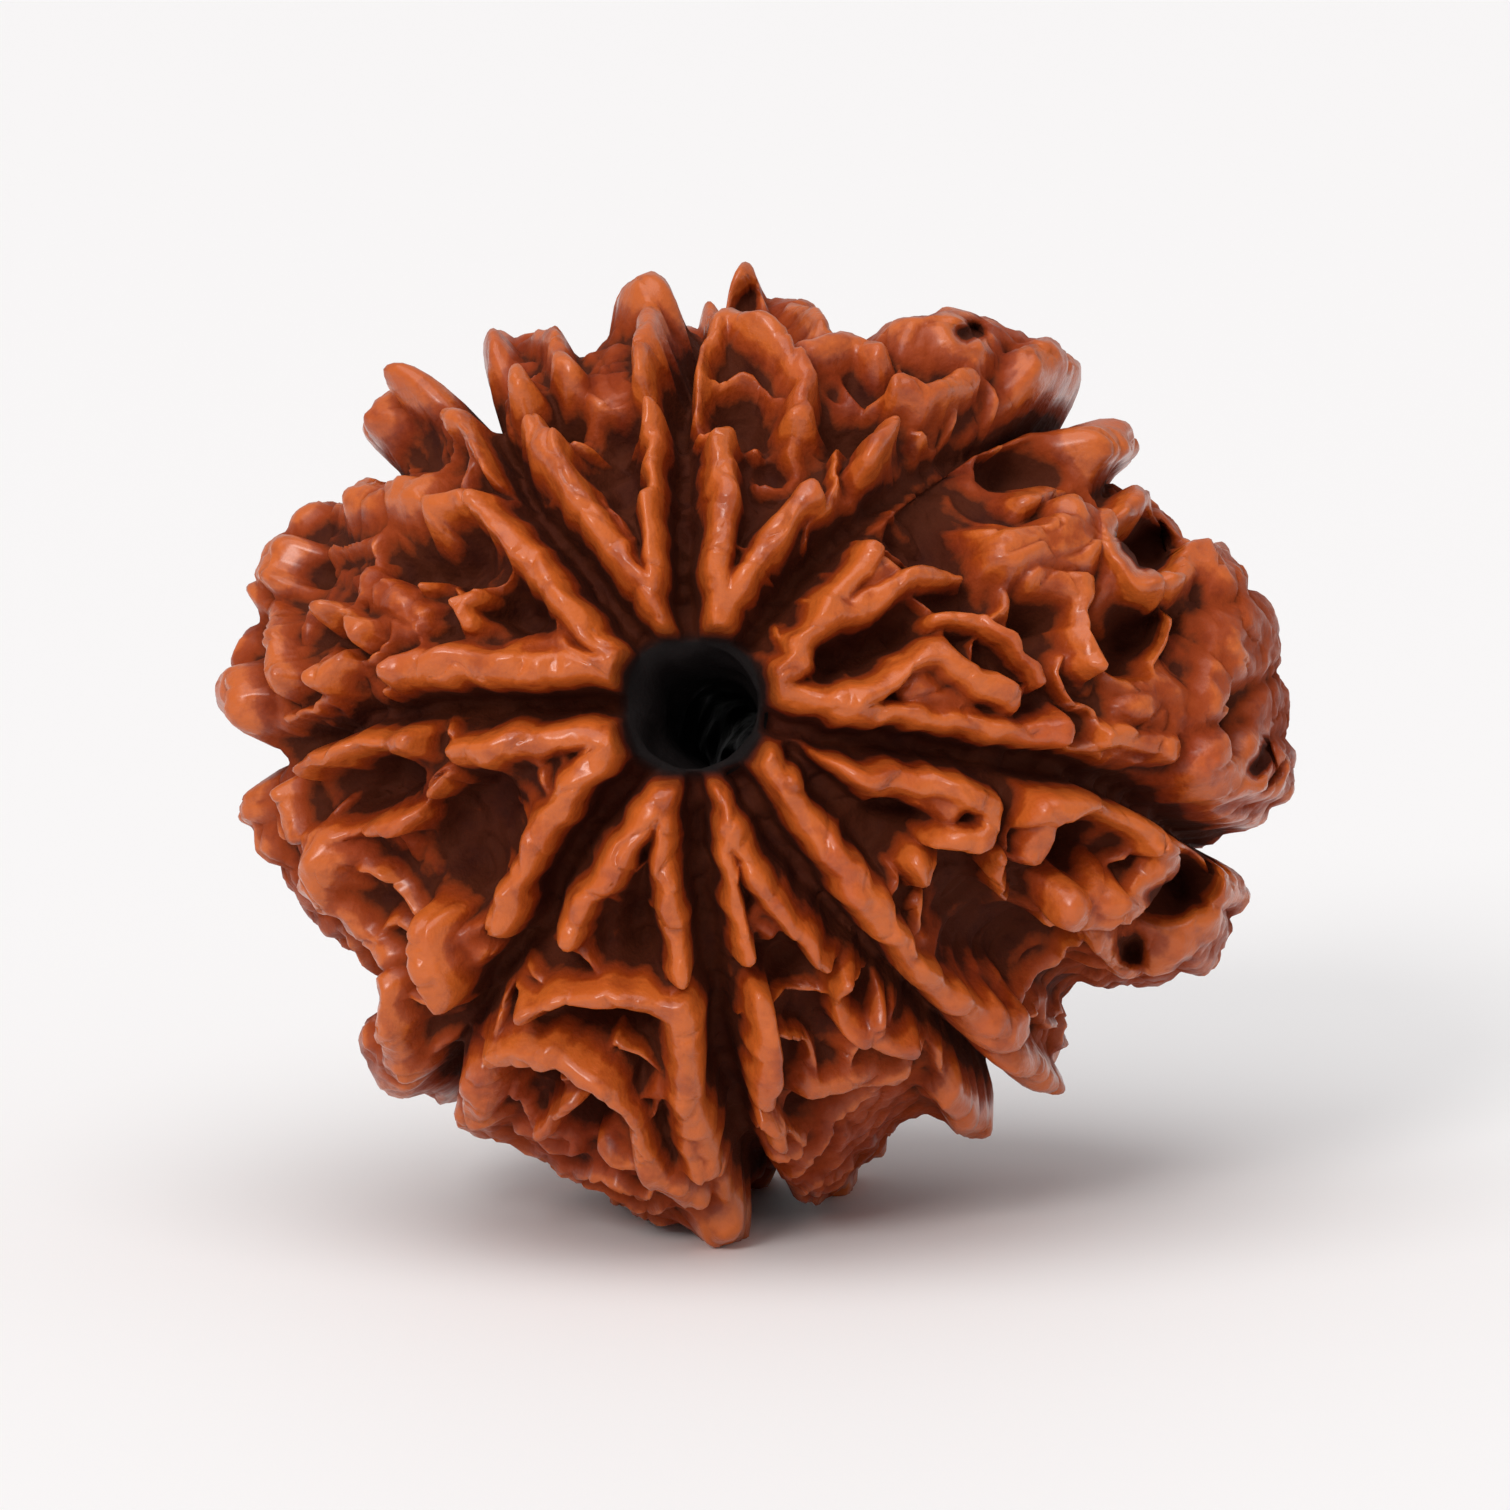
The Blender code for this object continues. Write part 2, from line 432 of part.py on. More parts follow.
def relief(points, floor):
    """Height of the real surface over the smooth body, in millimetres."""
    back_crests, back_pits = back_features()
    front_crests = [(width, top, front_path(places)) for width, top, places in CRESTS]
    wobble = WOBBLE[1] * np.array([noise.noise_vector(point / WOBBLE[0]) for point in points])
    bend = UNSEEN_BEND[1] * np.array([noise.noise_vector(point / UNSEEN_BEND[0]) for point in points])
    unseen = np.clip(0.55 + points[:, 1] / 5, 0, 1)
    warped = points + wobble + bend * unseen[:, None]
    lumps = LUMPS[1] * noise_at(points, LUMPS[0]) + WRINKLES[1] * np.abs(noise_at(points, WRINKLES[0]))
    size, share, rise = WINDING
    winding = np.clip(1 - np.abs(noise_at(points + wobble, size)) / share, 0, 1)
    ground = -rise * floor * winding * winding * (3 - 2 * winding)
    total = np.exp(BLEND * lumps) + np.exp(BLEND * ground) - 1
    swell = 1 + (SWELL[1] + SWELL[2] * unseen) * noise_at(points, SWELL[0])
    for half_width, top, path in front_crests + back_crests:
        share = rounded(distance_to(warped, path), half_width, CREST_POWER)
        excess = np.maximum(top - floor, 0) * swell * share
        total += np.exp(BLEND * excess) - 1
    steadier = points + 0.5 * wobble
    for half_width, top, path in rim_paths(RIM_RIDGES) + feet_paths():
        excess = np.maximum(top - floor, 0) * rounded(distance_to(steadier, path), half_width, RIM_POWER)
        total += np.exp(BLEND * excess) - 1
    height = floor + np.log(total) / BLEND
    for radius, depth, places in PITS:
        height -= (height + depth) * rounded(distance_to(warped, front_path(places)), radius, 4) * 0.9
    for radius, depth, path in back_pits:
        height -= (height + depth) * rounded(distance_to(warped, path), radius, 4) * 0.9
    for half_width, top, path in rim_paths(RIM_NOTCHES):
        height -= np.maximum(height - top, 0) * rounded(distance_to(steadier, path), half_width, 4)
    for path in furrow_paths():
        cut = rounded(distance_to(steadier, path), FURROW_WIDTH, 4)
        height -= (height + FURROW_DEPTH) * cut
    return height


def sunk_back(points):
    """How far the hollows near the rim move each point straight back, fading out behind the rim."""
    seen = points[:, (0, 2)] - MOUTH_SHIFT
    uneven = np.array([noise.noise_vector(point / UNEVEN[0]) for point in points])[:, (0, 2)]
    sunk = np.zeros(len(points))
    for degrees, distance, radius, depth, lip in HOLLOWS:
        turn = math.radians(degrees)
        middle = distance * np.array((math.cos(turn), math.sin(turn)))
        gap = np.linalg.norm(seen - middle + UNEVEN[1] * uneven, axis=1)
        around = np.abs(gap - 1.7 * radius)
        sunk += depth * rounded(gap, radius, 4) - lip * rounded(around, 0.6 * radius, 4)
    front = np.clip(0.5 - points[:, 1] / 5, 0, 1)
    return sunk * front * front * (3 - 2 * front)


def turned_body(collection):
    """The smooth ring: an outside arc and the bore's funnel, turned about Z with the front mouth up."""
    mouth = math.acos((MOUTH_RADIUS / BODY_RADIUS) ** (FULLNESS / 2))
    outside = [profile_at(latitude) for latitude in np.linspace(-mouth, mouth, OUTSIDE_STEPS)]
    lip = outside[-1][1] + MOUTH_SINK
    bore = []
    for step in range(1, BORE_STEPS):
        height = lip - 2 * lip * step / BORE_STEPS
        inward = (abs(lip) - abs(height)) / FUNNEL_DEPTH
        widen = (MOUTH_RADIUS - BORE_RADIUS) * math.exp(-2 * inward)
        bore.append((BORE_RADIUS + widen, height))
    profile = outside + bore
    mesh = bpy.data.meshes.new("profile")
    edges = [(i, (i + 1) % len(profile)) for i in range(len(profile))]
    mesh.from_pydata([(x * MM, 0, z * MM) for x, z in profile], edges, [])
    ring = bpy.data.objects.new("profile", mesh)
    collection.objects.link(ring)
    screw = ring.modifiers.new("turn", "SCREW")
    screw.steps = screw.render_steps = RING_STEPS
    screw.use_merge_vertices = True
    screw.merge_threshold = 0.00001
    bpy.context.view_layer.update()
    turned = bpy.data.meshes.new_from_object(ring.evaluated_get(bpy.context.evaluated_depsgraph_get()))
    bpy.data.objects.remove(ring)
    return turned


def read_points(mesh):
    points = np.empty(len(mesh.vertices) * 3, np.float32)
    mesh.vertices.foreach_get("co", points)
    return points.reshape(-1, 3).astype(float) / MM


def write_points(mesh, points):
    mesh.vertices.foreach_set("co", (points * MM).astype(np.float32).ravel())
    mesh.update()


def grow_relief(mesh):
    """Bends the turned ring to the bead's own outline, then raises its crests and sinks its furrows."""
    turned = read_points(mesh)
    radius = np.hypot(turned[:, 0], turned[:, 1])
    angle = np.arctan2(turned[:, 1], turned[:, 0])
    grown = body_points(angle, radius, turned[:, 2])
    outside = radius > MOUTH_RADIUS - 0.001
    angle, radius, height = angle[outside], radius[outside], turned[outside, 2]
    latitude = -np.sign(height) * np.arccos(np.clip(radius / BODY_RADIUS, 0, 1) ** (FULLNESS / 2))
    shown = np.clip((radius - MOUTH_RADIUS) / MOUTH_FADE, 0, 1)
    shown = shown * shown * (3 - 2 * shown)
    rise = relief(grown[outside], floor_of(height)) * shown - MOUTH_SINK * (1 - shown)
    grown[outside] += outward_at(angle, latitude) * rise[:, None]
    grown[outside, 1] += sunk_back(grown[outside])
    write_points(mesh, grown)


def set_down(mesh):
    """Leans the bead back and sets its feet's tips under Z = 0 by the depth that is worn off."""
    points = read_points(mesh)
    lean = math.radians(LEAN_DEGREES)
    y = points[:, 1] * math.cos(lean) + points[:, 2] * math.sin(lean)
    z = points[:, 2] * math.cos(lean) - points[:, 1] * math.sin(lean)
    x = points[:, 0] - (points[:, 0].min() + points[:, 0].max()) / 2
    y -= (y.min() + y.max()) / 2
    z += TABLE_DEPTH - WORN_DEPTH
    write_points(mesh, np.stack((x, y, z), axis=-1))


def bead_material():
    material = bpy.data.materials.new("rudraksha")
    material.use_nodes = True
    shader = material.node_tree.nodes["Principled BSDF"]
    shader.inputs["Base Color"].default_value = MATERIAL_COLOR
    shader.inputs["Roughness"].default_value = MATERIAL_ROUGHNESS
    shader.inputs["Metallic"].default_value = 0.0
    return material


def build():
    for obj in list(bpy.data.objects):
        bpy.data.objects.remove(obj)
    noise.seed_set(SEED)
    scene = bpy.context.scene
    parts = bpy.data.collections.new("rudraksha_bead")
    cutters = bpy.data.collections.new("cutters")
    scene.collection.children.link(parts)
    scene.collection.children.link(cutters)

    mesh = turned_body(parts)
    grow_relief(mesh)
    set_down(mesh)
    mesh.materials.append(bead_material())
    bead = bpy.data.objects.new("bead", mesh)
    parts.objects.link(bead)
    thin = bead.modifiers.new("coarser faces", "DECIMATE")
    thin.ratio = TRIANGLES / (2 * RING_STEPS * (OUTSIDE_STEPS + BORE_STEPS - 1))

    bpy.ops.mesh.primitive_cube_add(size=40 * MM, location=(0, 0, -20 * MM))
    table = bpy.context.object
    table.name = "table_cutter"
    table.hide_render = True
    table.display_type = "WIRE"
    for collection in list(table.users_collection):
        collection.objects.unlink(table)
    cutters.objects.link(table)
    worn = bead.modifiers.new("worn flat", "BOOLEAN")
    worn.operation = "DIFFERENCE"
    worn.object = table


build()
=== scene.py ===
import math
import random

import bmesh
import bpy
import numpy as np
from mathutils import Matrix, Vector, noise


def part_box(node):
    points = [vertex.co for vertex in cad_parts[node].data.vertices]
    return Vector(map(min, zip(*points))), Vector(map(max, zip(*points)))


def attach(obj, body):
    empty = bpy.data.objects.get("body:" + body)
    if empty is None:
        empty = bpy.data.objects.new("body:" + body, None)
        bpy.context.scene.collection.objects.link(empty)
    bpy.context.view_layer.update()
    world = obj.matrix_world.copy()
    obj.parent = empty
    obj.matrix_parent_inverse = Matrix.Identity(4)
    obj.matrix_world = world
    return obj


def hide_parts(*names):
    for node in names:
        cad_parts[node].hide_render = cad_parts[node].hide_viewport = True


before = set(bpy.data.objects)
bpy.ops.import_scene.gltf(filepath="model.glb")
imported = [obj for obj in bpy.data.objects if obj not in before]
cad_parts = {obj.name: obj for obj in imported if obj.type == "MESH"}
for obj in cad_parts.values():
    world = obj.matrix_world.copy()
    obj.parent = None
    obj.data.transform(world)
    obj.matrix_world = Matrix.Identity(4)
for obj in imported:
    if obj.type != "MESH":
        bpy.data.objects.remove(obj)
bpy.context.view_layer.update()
mm = 0.001
print("frame loaded:", ", ".join(sorted(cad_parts)))

bead = {
    "seed": 8,
    "bodyRadius": 10.5,
    "bodyDepth": 18.4,
    "fullness": 2.3,  # 2 would be an ellipse from mouth to mouth
    "mouthShift": np.array((-1.5, 1.1)),
    "mouthRadius": 1.5,
    "mouthFade": 0.42,
    "mouthSquare": 0.09,
    "mouthSink": 1.2,
    "boreRadius": 0.95,
    "boreNoise": (0.9, 0.22),
    "boreFade": 0.12,  # share of the hole's length where its roughness starts
    "funnelDepth": 2.2,
    "funnelCurve": 2,
    "lean": math.radians(9),
    "tableDepth": 11.05,
    "wornDepth": 0.08,
    "faceFloor": -1.1,
    "rimFloor": -0.5,
    "rimSpread": (1.5, 2.2),
    "furrowWidth": 0.34,
    "furrowDepth": 1.7,
    "furrowBack": (6, 82),  # latitudes in degrees where a furrow runs on over the back
    "footReach": 3,
    "blend": 9.0,
    "wobble": (1.9, 0.22),  # seeded noise: the size of its lumps, and how much it moves or swells
    "steadyShare": 0.5,  # how much of the wobble the rim's ridges and the furrows take
    "unseenBend": (3.7, 0.9),
    "unseenFade": (0.55, 5),
    "frontFade": (0.5, 5),
    "lumps": (1.5, 0.22),
    "wrinkles": (0.8, 0.14),
    "swell": (1.2, 0.18, 0.14),
    "winding": (1.5, 0.24, 0.75),  # low winding ridges: their size, width in the noise, and rise
    "uneven": (0.9, 0.3),  # bends the hollows' edges
    "crestPower": 4.5,  # how square a crest's section is
    "rimPower": 5.0,
    "pitPower": 4,
    "sectionEnd": 6.0,  # in half widths
    "pitShare": 0.9,
    "lipPlace": (1.7, 0.6),  # a hollow's lip: its middle and half its width, in radii
    "fray": (0.6, 0.13),  # small wobble of the crests' edges
    "knobbly": (0.9, 0.2),
    "grain": (0.42, 0.09),
    "grit": (0.21, 0.04),
    "creases": (0.9, 0.1, 0.1),  # thin sunk lines: their size, width in the noise, and depth
    "spareLow": (0.06, 0.02, 0.004),  # how far inside the CAD node's box it stays
    "spareHigh": (0.06, 0.02, 0.25),
    "standings": (("edge", 0.5), ("crest", 1.6), ("stand", 4.5)),  # each mark's window
    "weldReach": 0.0002,
    "ringSteps": 840,
    "outsideSteps": 540,
    "boreSteps": 60,
    "triangles": 190000,
}

# How far the smooth body reaches from the middle of its outline, by angle in degrees.
beadReach = (
    (2, 11.9), (14, 11.75), (27, 10.75), (37, 10.3), (47, 10.9), (59, 10.9), (73, 9.9), (92, 10.1),
    (110, 10.1), (130, 10.8), (143, 10.2), (158, 11.1), (176, 11.6), (192, 11.3), (211, 10.5),
    (221, 11.3), (240, 10.9), (257, 11.4), (275, 10.7), (291, 9.5), (307, 10.0),
    (322, 9.5), (336, 11.3), (350, 11.6),
)

# A place on the front is an angle, anticlockwise from the right, and a distance from the mouth's middle.
beadFurrows = (
    ((347, 1.6), (347, 3.0), (349, 5.0), (350, 7.0), (350, 9.0), (348.5, 11.0), (345.5, 12.6)),
    ((50, 1.6), (51, 3.5), (50, 5.5), (47, 7.2), (45, 9.0), (41, 10.3), (38, 11.2)),
    ((93, 1.6), (93, 4.0), (93, 6.0), (93, 7.4), (90, 8.7)),
    ((127, 1.6), (128, 3.5), (129, 5.0), (129, 6.4), (125.5, 8.0)),
    ((180, 1.6), (180, 4.0), (180, 6.2), (182, 8.0), (186, 9.4)),
    ((231, 1.6), (230, 3.0), (231, 4.8), (235, 6.5), (234, 8.2), (236, 10.8)),
    ((271, 1.6), (272, 3.5), (274, 6.0), (275, 8.5), (276, 10.4), (278, 11.8)),
    ((301, 1.6), (301, 3.2), (303, 5.2), (304, 7.0), (306.5, 9.2), (308.5, 11.2)),
)

# Each crest is half its width, its top above the smooth body, and the places that it runs through.
beadCrests = (
    # right face
    (0.42, 0.45, ((12, 1.7), (22, 2.6), (33, 3.5), (38, 4.5), (41, 5.3))),
    (0.36, 0.45, ((28, 2.6), (30, 3.8), (30, 5.2), (28.5, 6.7))),
    (0.50, 0.10, ((35, 4.2), (34, 5.4))),
    (0.50, 0.45, ((2, 1.7), (0, 3.0), (356.5, 4.6), (355, 6.2), (355, 7.4), (355.5, 8.2))),
    (0.42, 0.55, ((0, 3.2), (7, 4.1), (13, 4.8), (11, 5.6), (5, 6.2), (2, 7.0))),
    (0.55, 0.10, ((4, 5.0), (358, 6.2))),
    (0.28, 0.30, ((19, 5.7), (16, 6.7), (11, 7.4), (5, 7.8))),
    (0.80, 0.45, ((28.5, 7.8), (25, 8.7), (22.5, 9.6))),
    (0.60, 0.50, ((27, 9.6), (23, 10.2), (16, 10.1), (13.5, 10.6))),
    (0.38, 0.45, ((20.5, 8.4), (17, 9.3), (11.5, 8.9), (6.5, 8.9))),
    (0.45, 0.55, ((24, 10.7), (24.5, 11.6), (20, 12.1), (16, 11.9), (14.5, 11.1))),
    (0.75, 0.30, ((14, 12.6), (9, 12.5), (4, 12.0), (0, 11.8))),
    (1.10, -0.15, ((2, 10.4), (359, 11.2))),
    (0.60, 0.40, ((353.5, 11.9), (353, 12.7))),
    (0.35, 0.10, ((356, 9.6), (354.5, 11.0))),
    (0.50, 0.25, ((34, 9.8), (36, 11.0), (33, 11.6))),
    (0.30, 0.15, ((32, 8.9), (31.5, 10.2))),
    # upper right face
    (0.40, 0.45, ((72, 1.7), (78, 2.6), (81, 4.0), (83, 5.2), (84, 6.1))),
    (0.42, 0.45, ((72, 1.7), (68, 3.0), (64.5, 4.3), (61.5, 5.4))),
    (0.42, 0.50, ((92, 7.2), (90, 8.1), (84, 8.7), (77, 8.3), (71, 7.8), (71, 7.0))),
    (0.45, 0.35, ((72, 8.3), (67, 8.7), (62, 8.9))),
    (0.45, 0.50, ((53.5, 6.7), (55.5, 7.6))),
    (0.95, 0.55, ((60, 9.6), (54, 10.2), (48.5, 11.0), (44.5, 11.2))),
    (0.40, 0.20, ((57, 8.6), (53, 8.9), (50, 9.8))),
    (0.40, 0.35, ((83.5, 9.7), (77, 9.5), (71, 9.2))),
    # top face
    (0.36, 0.45, ((110, 1.7), (105, 2.7), (102.5, 4.0), (100, 5.5), (98, 6.8))),
    (0.46, 0.45, ((110, 1.7), (115, 2.8), (118, 4.2), (119.5, 5.8), (120.5, 7.3))),
    (0.42, 0.60, ((98.5, 7.5), (96.5, 8.5), (95.8, 9.4))),
    (0.80, -0.20, ((105.5, 7.6), (104.5, 8.6))),
    (0.42, 0.50, ((111, 7.9), (113, 8.9), (118, 9.6))),
    (0.42, 0.50, ((118.5, 8.0), (120, 9.6))),
    # upper left face
    (0.42, 0.45, ((153, 1.7), (144, 2.8), (140.5, 4.0), (138, 5.2), (135, 6.7))),
    (0.55, 0.45, ((153, 1.7), (163, 2.8), (168.5, 3.9), (171.5, 5.2), (173, 6.8))),
    (0.60, 0.10, ((160, 3.2), (162, 4.1))),
    (0.30, 0.15, ((161, 5.4), (156.5, 5.8), (152.5, 5.5))),
    (0.28, 0.10, ((148.5, 6.6), (155, 7.0))),
    (0.36, 0.25, ((137.5, 7.0), (142.5, 7.5), (147, 7.2))),
    (0.75, 0.45, ((143, 7.9), (147.5, 8.6), (153, 9.4), (158, 10.1))),
    (0.38, 0.45, ((164.5, 9.9), (170, 9.6), (176, 9.4))),
    (0.36, 0.40, ((164.5, 8.7), (166, 7.7))),
    (0.52, 0.40, ((172, 8.2), (176, 8.5))),
    (0.70, -0.20, ((163, 7.0), (157, 8.2))),
    (0.45, 0.60, ((128.5, 7.3), (128.5, 8.6), (130.5, 9.9))),
    (0.50, 0.55, ((134.5, 9.2), (134, 10.1))),
    # lower left face
    (0.48, 0.45, ((206, 1.7), (196, 2.7), (193.5, 4.0), (192.5, 5.4))),
    (0.44, 0.50, ((187, 6.6), (187.5, 7.8), (188, 9.0))),
    (0.48, 0.45, ((206, 1.7), (214, 2.8), (218.5, 4.0), (223, 5.2), (228, 6.7))),
    (0.32, 0.30, ((198.5, 5.9), (199.5, 6.4))),
    (0.34, 0.20, ((202.5, 7.0), (200, 8.4), (199, 9.4))),
    (0.32, 0.25, ((191.5, 9.6), (198, 9.6))),
    (0.85, 0.45, ((203.5, 9.2), (206, 9.5))),
    (0.45, 0.10, ((208, 9.2), (214, 9.2), (219, 9.2))),
    (0.55, 0.50, ((219.5, 7.7), (224, 8.3), (229.5, 8.8))),
    (0.45, 0.40, ((222.5, 9.5), (226.5, 10.0), (231, 10.6))),
    # bottom left face
    (0.45, 0.45, ((252, 1.7), (247, 2.9), (243.5, 4.2), (240, 5.9))),
    (0.38, 0.35, ((252, 1.7), (258.5, 3.0), (263, 4.4), (266.5, 6.0))),
    (0.40, 0.50, ((269, 6.7), (261, 6.8), (252, 6.95), (245, 7.2), (242.5, 7.8))),
    (0.58, 0.55, ((268.5, 6.9), (269, 8.2), (270, 9.4), (271.5, 10.4))),
    (0.42, 0.40, ((241, 9.2), (248, 8.4), (256, 8.7), (261, 9.5), (265.5, 10.6), (270, 11.2))),
    (0.55, 0.40, ((240, 9.7), (242, 10.5))),
    (0.30, 0.20, ((252.5, 9.6), (250.5, 10.5))),
    # bottom right face
    (0.34, 0.40, ((286, 1.7), (289, 3.0), (291, 4.4), (295, 5.6), (297, 6.6))),
    (0.30, 0.35, ((286, 1.7), (282.5, 3.4), (282, 4.8), (282, 5.8))),
    (0.42, 0.45, ((283.5, 6.8), (281.5, 8.0), (280.5, 9.0))),
    (0.30, 0.20, ((280, 9.7), (281, 10.3))),
    (0.32, 0.25, ((298.5, 7.3), (296.5, 8.2), (299.5, 8.9), (302.5, 9.4))),
    (0.26, 0.20, ((302, 7.7), (299.5, 8.5))),
    (0.38, 0.10, ((288, 9.2), (294, 9.3), (299, 9.8))),
    (0.80, -0.20, ((293, 10.2), (290, 11.0))),
    # lower right face
    (0.58, 0.45, ((322, 1.8), (317.5, 3.0), (314, 4.3), (311, 5.8))),
    (0.46, 0.50, ((311, 5.8), (310, 7.3), (310.5, 8.6), (312, 9.6))),
    (0.70, 0.60, ((312, 9.8), (314, 10.2))),
    (0.40, 0.45, ((336, 3.2), (338.5, 4.6), (342, 6.0), (341, 7.0), (336, 7.1), (330, 6.1))),
    (0.50, 0.10, ((336, 4.6), (338, 6.2))),
    (0.34, 0.25, ((323.5, 6.1), (323, 6.6))),
    (0.26, 0.15, ((334, 7.8), (329.5, 8.1), (326, 8.6))),
    (0.45, 0.50, ((342.5, 8.0), (347, 9.3), (346, 10.4), (343, 11.2), (339, 11.2), (335.5, 10.9))),
    (0.40, 0.20, ((342, 8.2), (337, 8.4))),
    (0.80, 0.55, ((333.5, 9.8), (334, 10.4))),
    (0.35, 0.15, ((330, 10.8), (328.5, 11.6))),
    (0.50, 0.30, ((338, 12.7), (334.5, 12.4), (331, 12.1))),
)

# Each pit is its radius, its depth below the smooth body, and the places that it runs through.
beadPits = (
    (0.55, 2.3, ((18.5, 11.0),)),
    (0.60, 2.2, ((11.5, 9.9), (8, 10.4))),
    (0.55, 1.9, ((15, 8.3),)),
    (0.38, 1.6, ((19, 3.4), (19.5, 5.0))),
    (0.35, 1.4, ((357, 12.3),)),
    (0.90, 2.0, ((36, 7.0), (41, 8.4))),
    (0.50, 2.0, ((36.5, 9.5), (34.5, 10.2))),
    (0.55, 2.0, ((81, 7.4), (79, 7.0))),
    (0.55, 2.0, ((64, 7.7), (62, 7.5))),
    (0.50, 1.6, ((73, 6.0),)),
    (0.45, 1.9, ((82, 9.2), (78, 9.0))),
    (0.45, 1.7, ((107, 5.4), (106.5, 7.0))),
    (0.38, 1.8, ((114.5, 7.6),)),
    (0.60, 2.0, ((152, 4.7),)),
    (0.55, 1.8, ((147, 6.4), (152, 7.8))),
    (0.42, 2.0, ((160, 9.5),)),
    (0.42, 1.9, ((167.5, 8.4),)),
    (0.50, 2.1, ((137.5, 8.5),)),
    (0.90, 2.3, ((206, 5.6), (213, 6.8))),
    (0.60, 2.1, ((193, 7.6), (196, 8.5))),
    (0.45, 1.8, ((254, 5.2), (257, 6.0))),
    (0.38, 2.0, ((260, 7.5), (249, 7.7))),
    (0.42, 2.0, ((247, 9.7),)),
    (0.48, 2.1, ((258, 9.8), (254, 10.5))),
    (0.40, 1.7, ((290, 6.2), (292, 6.9))),
    (0.42, 1.6, ((288, 9.9),)),
    (0.40, 1.6, ((300, 7.9),)),
    (0.48, 2.1, ((327.5, 5.2), (330, 5.4))),
    (0.30, 1.6, ((333, 2.6), (325, 4.4), (321, 5.6))),
    (0.60, 1.6, ((326, 7.4), (321, 9.0), (323, 9.8))),
    (0.55, 2.3, ((339.5, 9.6),)),
    (0.60, 2.1, ((340, 12.0), (337, 11.9))),
)

# Ridges over the rim: an angle and a reach from the front mouth's middle, half a width, and the
# latitudes in degrees, negative towards the front, where the ridge starts and ends.
rimRidges = (
    (348.5, 13.6, 0.60, -14, 16), (354, 14.15, 0.95, -22, 16), (0.5, 13.85, 1.05, -8, 24),
    (7.5, 13.75, 1.10, -14, 22), (14, 13.15, 0.80, -12, 20), (22, 11.75, 0.82, -10, 18),
    (34.3, 12.25, 0.80, -14, 14), (39, 11.5, 0.50, -10, 14),
    (44, 11.95, 0.95, -16, 20), (50, 11.4, 0.90, -10, 26), (57.5, 10.5, 0.90, -12, 18),
    (64, 9.85, 0.70, -6, 24), (70.5, 9.5, 0.75, 0, 26), (76.5, 9.85, 0.80, 0, 26),
    (86.4, 10.8, 0.84, -2, 22), (94, 9.5, 0.50, -8, 14),
    (95.9, 10.05, 0.98, -14, 18), (113.5, 9.35, 0.72, -10, 24),
    (122, 10.1, 0.85, -14, 18), (128, 11.0, 0.86, -14, 18), (135.5, 10.3, 0.85, -8, 24),
    (149.5, 9.45, 0.85, -8, 26), (155.5, 10.25, 0.75, -4, 20), (161.5, 10.65, 0.78, -12, 22),
    (167.5, 10.75, 0.70, -6, 26), (173, 10.85, 0.70, -6, 20), (179.3, 11.1, 0.95, -18, 20),
    (191, 10.95, 0.78, -12, 24), (197, 10.7, 0.74, -10, 18), (204, 10.3, 0.90, -10, 26),
    (211, 10.05, 0.75, -6, 22), (217, 9.75, 0.60, -4, 18), (225.5, 10.9, 0.58, -14, 14),
    (231, 11.35, 0.90, -18, 18), (238.5, 11.4, 0.64, -10, 14),
    (242, 11.15, 0.75, -14, 22),
    (249, 10.85, 0.60, -6, 28), (257, 11.1, 0.65, -4, 20), (266, 11.6, 0.70, 6, 26),
    (274.5, 12.4, 0.62, -20, 6), (285.5, 11.7, 0.80, -14, 28), (293, 11.0, 0.50, 2, 28),
    (303.5, 12.15, 0.50, -16, 16), (311.2, 12.65, 0.70, -16, 20), (318, 11.05, 0.50, -6, 24),
    (329.5, 12.75, 0.78, -12, 16), (335.5, 13.7, 0.88, -12, 24), (342.5, 13.85, 0.84, -14, 16),
)

# Notches in the rim between those ridges, given in the same way.
rimNotches = (
    (27.3, 11.1, 0.35, -8, 26), (37.6, 11.0, 0.28, -12, 24), (67.5, 9.2, 0.50, -14, 24),
    (90.3, 8.7, 0.34, -16, 10), (107.5, 8.3, 0.44, -14, 30), (124.5, 7.6, 0.48, -28, 34),
    (149.5, 9.2, 0.30, -12, 34), (169, 10.3, 0.30, -10, 24), (186.7, 8.5, 0.54, -14, 30),
    (200, 10.2, 0.35, -8, 20), (221, 9.5, 0.50, -8, 34), (235, 11.1, 0.25, -10, 24),
    (278.5, 11.4, 0.40, -14, 24), (298, 10.9, 0.48, -8, 30), (308.5, 11.1, 0.32, -10, 30),
    (322.5, 11.0, 0.36, -14, 30), (346, 12.7, 0.25, -14, 26),
)
rimPlaces = 7

# Hollows near the rim, sunk straight back: an angle and a distance from the mouth's middle, a radius,
# a depth, and how far the lip round it stands out.
beadHollows = (
    (19.7, 11.1, 0.52, 1.8, 0.55), (354.5, 13.2, 0.36, 1.0, 0.15), (341, 12.2, 0.50, 1.5, 0.30),
    (338.5, 11.7, 0.48, 1.4, 0.20), (54, 10.7, 0.30, 0.9, 0.10), (330.5, 11.6, 0.34, 1.0, 0.10),
    (83.5, 9.6, 0.34, 1.0, 0.10), (9.5, 10.2, 0.55, 1.2, 0.15),
)

# The three low knobs that it stands on: an angle and a latitude on the body, and half a width.
beadFeet = ((268, -7, 1.0), (253, 28, 0.95), (276, 33, 0.95))

